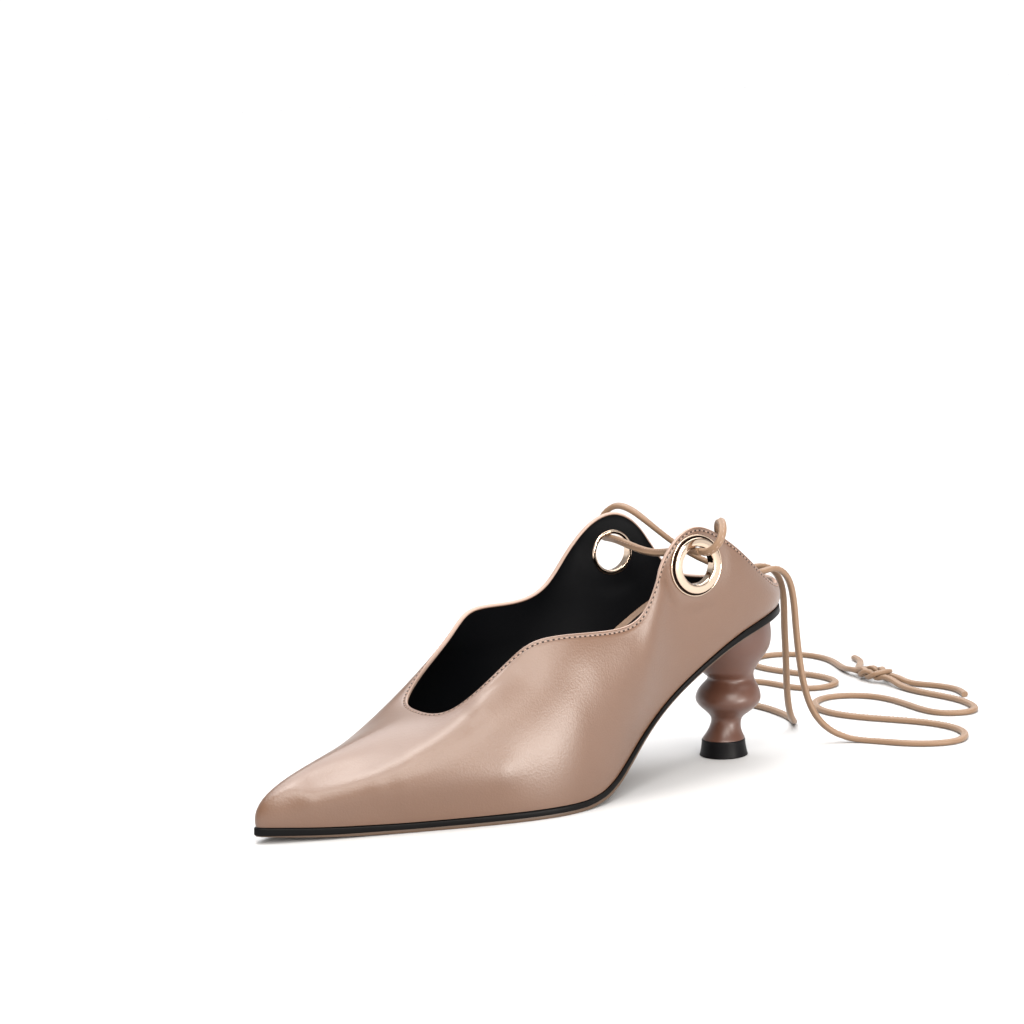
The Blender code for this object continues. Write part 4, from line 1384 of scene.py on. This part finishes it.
# The flange's face, from the hole out: shares of the flange's width and of its height.
EYELET_FACE = table(
    ("out", "up"),
    (0.000, 0.25), (0.005, 0.60), (0.045, 0.86), (0.120, 0.97), (0.240, 1.00),
    (0.420, 0.99), (0.580, 0.95), (0.690, 0.86), (0.735, 0.66), (0.750, 0.36),
    (0.785, 0.22), (0.830, 0.30), (0.920, 0.38), (0.975, 0.30), (1.000, 0.12),
)


@dataclass
class Eyelet:
    """A big metal eyelet: a domed flange with a lip outside, a barrel and a washer inside."""

    last: Last
    side: Side
    hole: float = 0.0073
    barrel: float = 0.0006
    flange: float = 0.0048
    washer: float = 0.0018
    height: float = 0.0018
    # The span of the face, as shares of the flange's width, that takes the dark metal: painted shade
    # in the groove.
    groove: tuple[float, float] = (0.715, 0.865)
    face_gap_share: float = 0.2
    flange_gap_share: float = 0.1
    washer_gap_share: float = 0.8
    bore_rows: tuple[float, float] = (0.6, 0.2)
    rim_edge: float = 0.0001
    roll_depth: float = 0.0007
    roll_fullness: float = 0.8
    face_points: int = 60
    roll_points: int = 14
    sides: int = 160
    sharp_deg: float = 50.0

    def profile(self) -> Array:
        """The section: radius and height above the leather, round the ring once.

        Returns:
            Rows of radius and height, closed by the first.
        """
        hole, rim, gap = self.hole, self.hole + self.flange, self.last.gap
        back = -self.last.wall - gap
        crown, low = gap + self.height, gap * self.face_gap_share
        under_flange, washer_top = gap * self.flange_gap_share, back + gap * self.washer_gap_share
        marks = np.column_stack([hole + EYELET_FACE["out"] * self.flange,
                                 low + EYELET_FACE["up"] * (crown - low)])
        face = natural_cubic(np.linspace(0, 1, len(marks)), marks,
                             np.linspace(0, 1, self.face_points))
        under = np.array([[rim - self.rim_edge, under_flange],
                          [hole + self.barrel, under_flange],
                          [hole + self.barrel, washer_top]])
        turn = np.linspace(0, math.pi, self.roll_points)
        half = self.washer / 2
        drop = self.roll_depth * np.sin(turn) ** self.roll_fullness
        roll = np.stack([hole + half + half * np.cos(turn), washer_top - drop], axis=1)
        inner = np.array([[hole, back * share] for share in self.bore_rows])
        return np.vstack([face, under, roll, inner])

    def build(self) -> None:
        """Turn the section about the eyelet's axis."""
        centre, outward = self.last.eyelets[self.side]
        rings = turned(self.profile(), self.sides)
        points = centre + rings.reshape(-1, 3) @ frame_of(outward)
        faces = grid_faces(len(rings), self.sides, True, True)
        # Faces in the groove take the dark metal: painted shade and painted dark reflection.
        share = (np.linalg.norm(rings[:, 0, :2], axis=1) - self.hole) / self.flange
        inside = (share > self.groove[0]) & (share < self.groove[1]) & (rings[:, 0, 2] > 0)
        name = self.side.name.lower()
        piece = make_piece(f"eyelet_ring_{name}", points, faces,
                           [ROSE_GOLD.build(), GROOVE_PAINTED_SHADE.build()],
                           np.repeat(inside, self.sides), self.sharp_deg)
        adopt(piece, Slot.METAL, f"eyelet_{name}")


# Lace

# Points of the ties and tails in millimetres, the same as those of the solid cords.
LATERAL_TIE = (
    (32.3, -31.6, 90.5), (36.9, -31.4, 91.0), (40.4, -29.4, 94.2), (39.8, -26.6, 98.9),
    (35.6, -24.0, 101.5), (30.2, -21.4, 100.4), (25.2, -18.2, 96.6), (20.5, -13.0, 90.9),
    (16.0, -5.8, 84.3), (11.5, 2.7, 78.0), (7.6, 11.6, 73.9), (4.8, 19.2, 73.2),
    (3.3, 25.8, 73.0), (2.6, 31.6, 69.2), (2.5, 34.6, 61.5), (3.0, 35.4, 50.0),
    (4.0, 36.0, 36.0), (5.8, 37.4, 22.0), (9.0, 40.8, 10.5), (14.0, 47.0, 3.6),
    (21.0, 54.0, 1.6), (32.0, 60.5, 1.6), (43.0, 69.5, 1.6), (47.0, 82.0, 1.6),
    (38.5, 93.0, 1.6), (22.0, 95.5, 1.6), (6.0, 89.5, 1.6), (-10.0, 80.5, 1.6),
    (-27.0, 75.5, 1.6), (-43.0, 80.0, 1.6), (-51.0, 93.5, 1.6), (-43.5, 106.5, 1.6),
    (-27.0, 110.5, 1.6), (-9.5, 108.5, 1.6), (5.5, 111.0, 1.6), (10.0, 121.5, 1.6),
    (-1.0, 130.0, 1.6), (-18.0, 131.5, 1.6), (-35.0, 129.5, 1.7), (-48.0, 130.2, 2.3),
    (-56.0, 131.4, 3.1), (-59.6, 131.6, 3.2),
)
MEDIAL_TIE = (
    (-32.4, -32.2, 88.5), (-36.8, -31.6, 89.1), (-40.2, -29.6, 92.3), (-39.6, -27.0, 97.0),
    (-35.2, -24.6, 100.0), (-29.8, -22.2, 99.2), (-24.7, -18.8, 95.4), (-19.7, -13.0, 89.0),
    (-15.0, -5.3, 82.0), (-11.0, 3.7, 76.4), (-7.9, 12.2, 73.6), (-5.4, 19.3, 73.2),
    (-4.1, 25.8, 73.0), (-3.5, 31.4, 69.0), (-3.7, 34.4, 61.4), (-4.5, 35.4, 49.0),
    (-5.9, 36.8, 35.0), (-8.4, 38.9, 20.5), (-12.4, 43.0, 9.5), (-18.5, 49.4, 3.4),
    (-27.0, 55.5, 1.6), (-41.0, 59.5, 1.6), (-56.0, 60.5, 1.6), (-71.0, 58.5, 1.6),
    (-86.0, 57.5, 1.6), (-100.0, 63.5, 1.6), (-106.0, 77.0, 1.6), (-98.0, 89.5, 1.6),
    (-83.0, 93.5, 1.6), (-70.0, 100.0, 1.6), (-70.5, 112.5, 1.6), (-84.0, 117.5, 1.6),
    (-100.0, 114.0, 1.6), (-116.0, 110.0, 1.6), (-132.0, 113.0, 1.6), (-140.0, 126.0, 1.6),
    (-133.0, 139.5, 1.6), (-118.0, 143.5, 1.6), (-103.0, 139.5, 1.7), (-90.0, 134.0, 2.3),
    (-81.0, 131.8, 3.1), (-77.4, 131.6, 3.2),
)
LATERAL_TAIL = (
    (-59.6, 136.0, 3.2), (-56.0, 136.1, 3.0), (-50.0, 137.6, 2.0), (-42.0, 141.5, 1.6),
    (-33.0, 144.5, 1.6), (-24.0, 144.0, 1.6), (-16.0, 140.5, 1.6),
)
MEDIAL_TAIL = (
    (-77.4, 136.0, 3.2), (-81.0, 136.2, 3.0), (-87.0, 139.2, 2.0), (-94.0, 145.5, 1.6),
    (-101.5, 151.5, 1.6), (-109.5, 154.5, 1.6),
)
KNOT_PLACE = (-68.5, 133.8, 3.4)
# A number past that of every route's last point.
BEYOND = 99
# One strand of the reef knot, from its standing part round the other strand and back, as
# shares of the knot's half length, half width and half height. The strand goes under the
# other's bend, over its leg, under its neck, and back the same way.
KNOT_STRAND = (
    (1.06, 0.38, -0.04), (0.84, 0.40, -0.20), (0.60, 0.44, -0.36), (0.30, 0.52, -0.10),
    (0.02, 0.66, 0.34), (-0.32, 0.78, 0.12), (-0.60, 0.66, -0.30), (-0.74, 0.28, -0.42),
    (-0.76, 0.00, -0.44), (-0.74, -0.28, -0.42), (-0.60, -0.66, -0.30), (-0.32, -0.78, 0.12),
    (0.02, -0.66, 0.34), (0.30, -0.52, -0.10), (0.60, -0.44, -0.36), (0.84, -0.40, -0.20),
    (1.06, -0.38, -0.04),
)


@dataclass
class Strand:
    """A folded and stitched leather strip: a flat round section carried along a smooth route."""

    name: str
    route: Array
    # The direction in which the strip is thin, by the number of the route's point.
    facing: tuple[tuple[float, tuple[float, float, float]], ...]
    half_width: float = 0.00152
    half_thick: float = 0.00118
    step: float = 0.0008
    sides: int = 20
    squareness: float = 0.8
    # The pinch's depth, place and half width, as shares of the section's half sizes.
    pinch: tuple[float, float, float] = (0.28, -0.25, 0.22)
    settle: float = 0.00036
    floor_heights: tuple[float, float] = (0.0018, 0.0032)
    # The seam's place across the strip and through it, as shares of the half sizes.
    seam: tuple[float, float] = (0.38, 0.93)
    seam_ends: tuple[float, float] = (0.0014, 0.001)
    stitch_pitch: float = 0.0019
    stitch_half: tuple[float, float, float] = (0.00058, 0.00019, 0.00013)
    stitch_arch: float = 0.00004
    tip: float = 0.0

    def centreline(self) -> tuple[Array, Array]:
        """The route at even steps, and the strip's facing direction at each.

        Where the strip lies on the floor it settles a little, because it is flatter than
        the round cord of the solids.

        Returns:
            Points, and the direction in which the strip is thin.
        """
        knots = chord(self.route)
        at = np.linspace(0, knots[-1], max(8, int(knots[-1] / self.step)))
        line = natural_cubic(knots, self.route, at)
        line[:, 2] -= self.settle * (1 - ease(*self.floor_heights, line[:, 2]))
        index = np.interp(at, knots, np.arange(len(knots)))
        keys = np.array([key for key, _ in self.facing])
        vectors = np.array([vector for _, vector in self.facing])
        face = np.stack([np.interp(index, keys, part) for part in vectors.T], axis=1)
        return line, face

    def section(self) -> tuple[Array, Array]:
        """The strip's section: a superellipse, pinched at one side where the edges meet.

        Returns:
            Each point's measure across the strip, and through it.
        """
        angle = np.linspace(0, 2 * math.pi, self.sides, endpoint=False)
        x, y = np.cos(angle), np.sin(angle)
        wide = np.sign(x) * np.abs(x) ** self.squareness * self.half_width
        deep = np.sign(y) * np.abs(y) ** self.squareness * self.half_thick
        depth, place, half = self.pinch
        bell = np.exp(-((wide / self.half_width - place) / half) ** 2)
        return wide, deep * (1 - depth * bell * (deep < 0))

    def sweep(self) -> tuple[Array, Array, Array, Array]:
        """Carry the section along the centreline and close its ends.

        Returns:
            Rings of points from end to end, the centreline, and at each of its points the
            directions across the strip and through it.
        """
        line, face = self.centreline()
        tangent = unit(np.gradient(line, axis=0))
        side = unit(np.cross(face, tangent))
        thin = np.cross(tangent, side)
        wide, deep = (part[None, :, None] for part in self.section())
        grid = line[:, None] + wide * side[:, None] + deep * thin[:, None]
        ends = np.stack([line[0], line[-1]])[:, None] + 0 * grid[:2]
        grid[-1] += (self.tip * wide * tangent[-1])[0]
        return np.concatenate([ends[:1], grid, ends[1:]]), line, side, thin

    def build(self, nodes: tuple[str, ...]) -> bpy.types.Object:
        """Make the strip, with its stitches, as one piece.

        Args:
            nodes: the solids that it stands for.

        Returns:
            The piece.
        """
        rings, line, side, thin = self.sweep()
        strip, strip_faces = rings.reshape(-1, 3), grid_faces(len(rings), self.sides, False, True)
        run = chord(line)
        places = np.arange(self.seam_ends[0], run[-1] - self.seam_ends[1], self.stitch_pitch)
        seam = (line + side * self.half_width * self.seam[0]
                - thin * self.half_thick * self.seam[1])
        stitch, stitch_faces = bean(*self.stitch_half, self.stitch_arch, rings=5, sides=6)
        stitches, stitch_faces = repeat_shape(stitch, stitch_faces,
                                              *along_line(seam, -thin, run, places))
        faces = np.vstack([strip_faces, stitch_faces + len(strip)])
        choice = np.r_[np.zeros(len(strip_faces)), np.ones(len(stitch_faces))]
        piece = make_piece(self.name, np.vstack([strip, stitches]), faces,
                           [NUDE_STRIP.build(), THREAD.build()], choice)
        return adopt(piece, Slot.LACE, *nodes)


@dataclass
class Lace:
    """The lace: a bar through both eyelets, two ties to a reef knot, and its two tails."""

    last: Last
    diameter: float = 0.0030
    eyelet_hole: float = 0.0073
    eyelet_height: float = 0.0018
    mouth_clear: float = 0.0004
    knot_half: tuple[float, float, float] = (0.0085, 0.0058, 0.0033)
    path_points: int = 240

    def build(self) -> None:
        self.bar()
        knot = self.knot()
        down = (0.0, 0.0, -1.0)
        for side, route in ((Side.LATERAL, LATERAL_TIE), (Side.MEDIAL, MEDIAL_TIE)):
            x = side.value
            facing = ((0, (0, 0.9, 0.45)), (2.2, (-0.75 * x, 0.65, 0)), (4.2, (-0.2 * x, 0.4, -1)),
                      (8, down), (12, down), (15, (0, -1, 0)), (18, (0, -1, -0.2)), (20.5, down),
                      (BEYOND, down))
            name = side.name.lower()
            points = np.array(route) * MM
            tie = Strand(f"lace_tie_{name}", points, facing).build((f"tie_{name}",))
            self.path(points)
        for side, route in ((Side.LATERAL, LATERAL_TAIL), (Side.MEDIAL, MEDIAL_TAIL)):
            name = side.name.lower()
            points = np.array(route) * MM
            tail = Strand(f"lace_tail_{name}", points, ((0, down), (BEYOND, down)), tip=0.5)
            tail.build((f"tail_{name}",))
            self.path(points)

    def path(self, points: Array) -> list:
        """The smooth route through the points, close together."""
        knots = chord(points)
        return natural_cubic(knots, points, np.linspace(0, knots[-1], self.path_points)).tolist()

    def bar(self) -> None:
        """The stretch across the opening, close under the top of both holes, sagging a little."""
        lift = self.eyelet_hole - self.diameter / 2 - self.last.gap
        mouth = 3 * self.last.gap + self.eyelet_height
        ends = []
        for side in Side:
            centre, outward = self.last.eyelets[side]
            up = unit(np.array([0.0, 0.0, 1.0]) - outward * outward[2])
            top = centre + up * lift
            ends.append([top + outward * (mouth + self.mouth_clear),
                         top - outward * 2 * self.last.wall])
        middle = (ends[0][1] + ends[1][1]) / 2 - np.array([0.0, 0.0, self.diameter])
        points = np.array([*ends[0], middle, *ends[1][::-1]])
        facing = ((0, (0, 0.9, 0.45)), (1, (0, 0.9, 0.2)), (2, (0, 0.8, -0.5)),
                  (3, (0, 0.9, 0.2)), (4, (0, 0.9, 0.45)))
        Strand("lace_across", points, facing).build(("lace_bar",))

    def knot(self) -> bpy.types.Object:
        """The reef knot: two strands, one the other turned half round a level axis across it.

        So each goes over where the other goes under.

        Returns:
            The piece.
        """
        shape = np.array(KNOT_STRAND) * np.array(self.knot_half)
        down = (0, 0, -1)
        points, faces = np.zeros((0, 3)), np.zeros((0, 4), int)
        for turn in (np.array([1, 1, 1]), np.array([-1, 1, -1])):
            route = np.array(KNOT_PLACE) * MM + shape * turn
            strand = Strand("strand", route, ((0, down), (BEYOND, down)), settle=0.0, step=0.0004,
                            half_thick=0.00112)
            rings = strand.sweep()[0]
            more = grid_faces(len(rings), strand.sides, False, True)
            faces = np.vstack([faces, more + len(points)])
            points = np.vstack([points, rings.reshape(-1, 3)])
        piece = make_piece("reef_knot", points, faces, [NUDE_STRIP.build()])
        return adopt(piece, Slot.LACE, "knot")


# Studio

@dataclass
class Studio:
    """The photograph's camera, a plain white floor and soft lights."""

    azimuth: float = 57.91
    elevation: float = 8.81
    roll: float = -2.15
    distance: float = 1.18514
    target: tuple[float, float, float] = (-0.02574, -0.0800, 0.10491)
    focal_mm: float = 106.81
    sensor_mm: float = 36.0
    aim: tuple[float, float, float] = (0.0, -0.09, 0.04)
    glow: tuple[float, float, float] = (1.0, 0.95, 0.89)
    horizon: float = 1.1
    ceiling: float = 0.38
    bank_power: float = 4.6
    bank_angle: float = 80.0
    bank_height: float = 72.0
    bank_turn: float = 10.0
    # Name, degrees to the camera's right, degrees above the floor, metres from the shoe,
    # width and height in metres, and watts.
    softboxes: tuple[tuple, ...] = (
        ("overhead_box", -54, 74, 1.3, (0.35, 0.35), 6),
        ("front_box", -6, 50, 1.4, (0.32, 0.32), 5.5),
        ("fill_box", 18, 32, 1.3, (0.60, 0.60), 9.5),
        ("right_box", 45, 5, 1.3, (0.58, 0.36), 12),
    )
    floor_half: float = 12.0
    horizon_rise: tuple[float, float] = (0.06, 0.30)

    def axes(self) -> Matrix:
        """The camera's directions, from its azimuth, elevation and roll.

        Returns:
            Right, up and back as columns.
        """
        a, e, r = (math.radians(v) for v in (self.azimuth, self.elevation, self.roll))
        back = np.array([math.sin(a) * math.cos(e), -math.cos(a) * math.cos(e), math.sin(e)])
        right = np.array([math.cos(a), math.sin(a), 0.0])
        up = np.cross(back, right)
        rolled = math.cos(r) * right + math.sin(r) * up
        tilted = math.cos(r) * up - math.sin(r) * right
        return Matrix(np.stack([rolled, tilted, back], axis=1).tolist())

    def camera(self) -> None:
        """Make the camera."""
        data = bpy.data.cameras.new("camera")
        data.sensor_width = self.sensor_mm
        data.lens = self.focal_mm
        data.clip_start, data.clip_end = 0.01, 100.0
        camera = bpy.data.objects.new("camera", data)
        bpy.context.scene.collection.objects.link(camera)
        axes = self.axes()
        place = Matrix.Translation(np.array(self.target) + np.array(axes.col[2]) * self.distance)
        camera.matrix_world = place @ axes.to_4x4()
        bpy.context.scene.camera = camera

    def direction(self, turn: float, high: float) -> Array:
        """A direction seen from the shoe.

        Args:
            turn: degrees to the camera's right of the camera's own side.
            high: degrees above the floor.

        Returns:
            The unit vector.
        """
        back = unit(np.array(self.axes().col[2]) * [1, 1, 0])
        right = np.array([-back[1], back[0], 0.0])
        turn, high = math.radians(turn), math.radians(high)
        flat = math.cos(turn) * back + math.sin(turn) * right
        return math.cos(high) * flat + np.array([0.0, 0.0, math.sin(high)])

    def lamp(self, data: bpy.types.Light, place: Array, away: Array) -> None:
        """Put a lamp into the scene.

        Args:
            data: its light.
            place: where it stands.
            away: the direction opposite to its light.
        """
        lamp = bpy.data.objects.new(data.name, data)
        bpy.context.scene.collection.objects.link(lamp)
        across = unit(np.cross([0.0, 0.0, 1.0], away))
        axes = Matrix(np.stack([across, np.cross(away, across), away], axis=1).tolist())
        lamp.matrix_world = Matrix.Translation(place) @ axes.to_4x4()

    def softbox(self, name: str, turn: float, high: float, far: float,
                size: tuple[float, float], power: float) -> None:
        """A softbox aimed at the shoe.

        Args:
            name: its name.
            turn: degrees to the camera's right, seen from the shoe.
            high: degrees above the floor.
            far: metres from the shoe.
            size: its width and height in metres.
            power: watts.
        """
        data = bpy.data.lights.new(name, "AREA")
        data.shape, data.energy = "RECTANGLE", power
        data.color = self.glow
        data.size, data.size_y = size
        away = self.direction(turn, high)
        self.lamp(data, np.array(self.aim) + away * far, away)

    def floor(self) -> None:
        """A wide white floor."""
        ends = [-self.floor_half, self.floor_half]
        x, y = np.meshgrid(ends, ends)
        points = np.stack([x, y, 0 * x], axis=-1).reshape(-1, 3)
        mesh = bpy.data.meshes.new("floor")
        mesh.from_pydata(points.tolist(), [], [(0, 1, 3, 2)])
        floor = bpy.data.objects.new("floor", mesh)
        mesh.materials.append(WHITE_FLOOR.build())
        bpy.context.scene.collection.objects.link(floor)

    def build(self) -> None:
        """Make camera, floor, world and lights."""
        self.camera()
        self.floor()
        self.world()
        bpy.context.scene.view_settings.view_transform = "Standard"
        self.bank()
        for box in self.softboxes:
            self.softbox(*box)

    def world(self) -> None:
        """White round the horizon, where the backdrop hangs, and dimmer overhead."""
        world = bpy.data.worlds.new("studio")
        world.use_nodes = True
        tree = world.node_tree
        place = add_node(tree, "TexCoord").outputs["Generated"]
        rise = add_node(tree, "SeparateXYZ", links={"Vector": place}).outputs["Z"]
        low, high = self.horizon_rise
        level = add_node(tree, "MapRange", {"From Min": low, "From Max": high,
                                            "To Min": self.horizon, "To Max": self.ceiling},
                         {"Value": rise}, interpolation_type="SMOOTHSTEP").outputs["Result"]
        background = tree.nodes["Background"]
        background.inputs["Color"].default_value = (1, 1, 1, 1)
        tree.links.new(level, background.inputs["Strength"])
        bpy.context.scene.world = world

    def bank(self) -> None:
        """A wide soft light from high behind the shoe, which whitens the whole floor."""
        data = bpy.data.lights.new("bank", "SUN")
        data.energy, data.angle = self.bank_power, math.radians(self.bank_angle)
        self.lamp(data, np.zeros(3), self.direction(180 - self.bank_turn, self.bank_height))


def main() -> None:
    """Build the studio and the shoe."""
    logging.basicConfig(level=logging.INFO)
    Studio().build()
    last = Last()
    Lace(last).build()
    Upper(last).build()
    Sole(last).build()
    Heel(last).build()
    for side in Side:
        Eyelet(last, side).build()


if __name__ == "__main__":
    main()
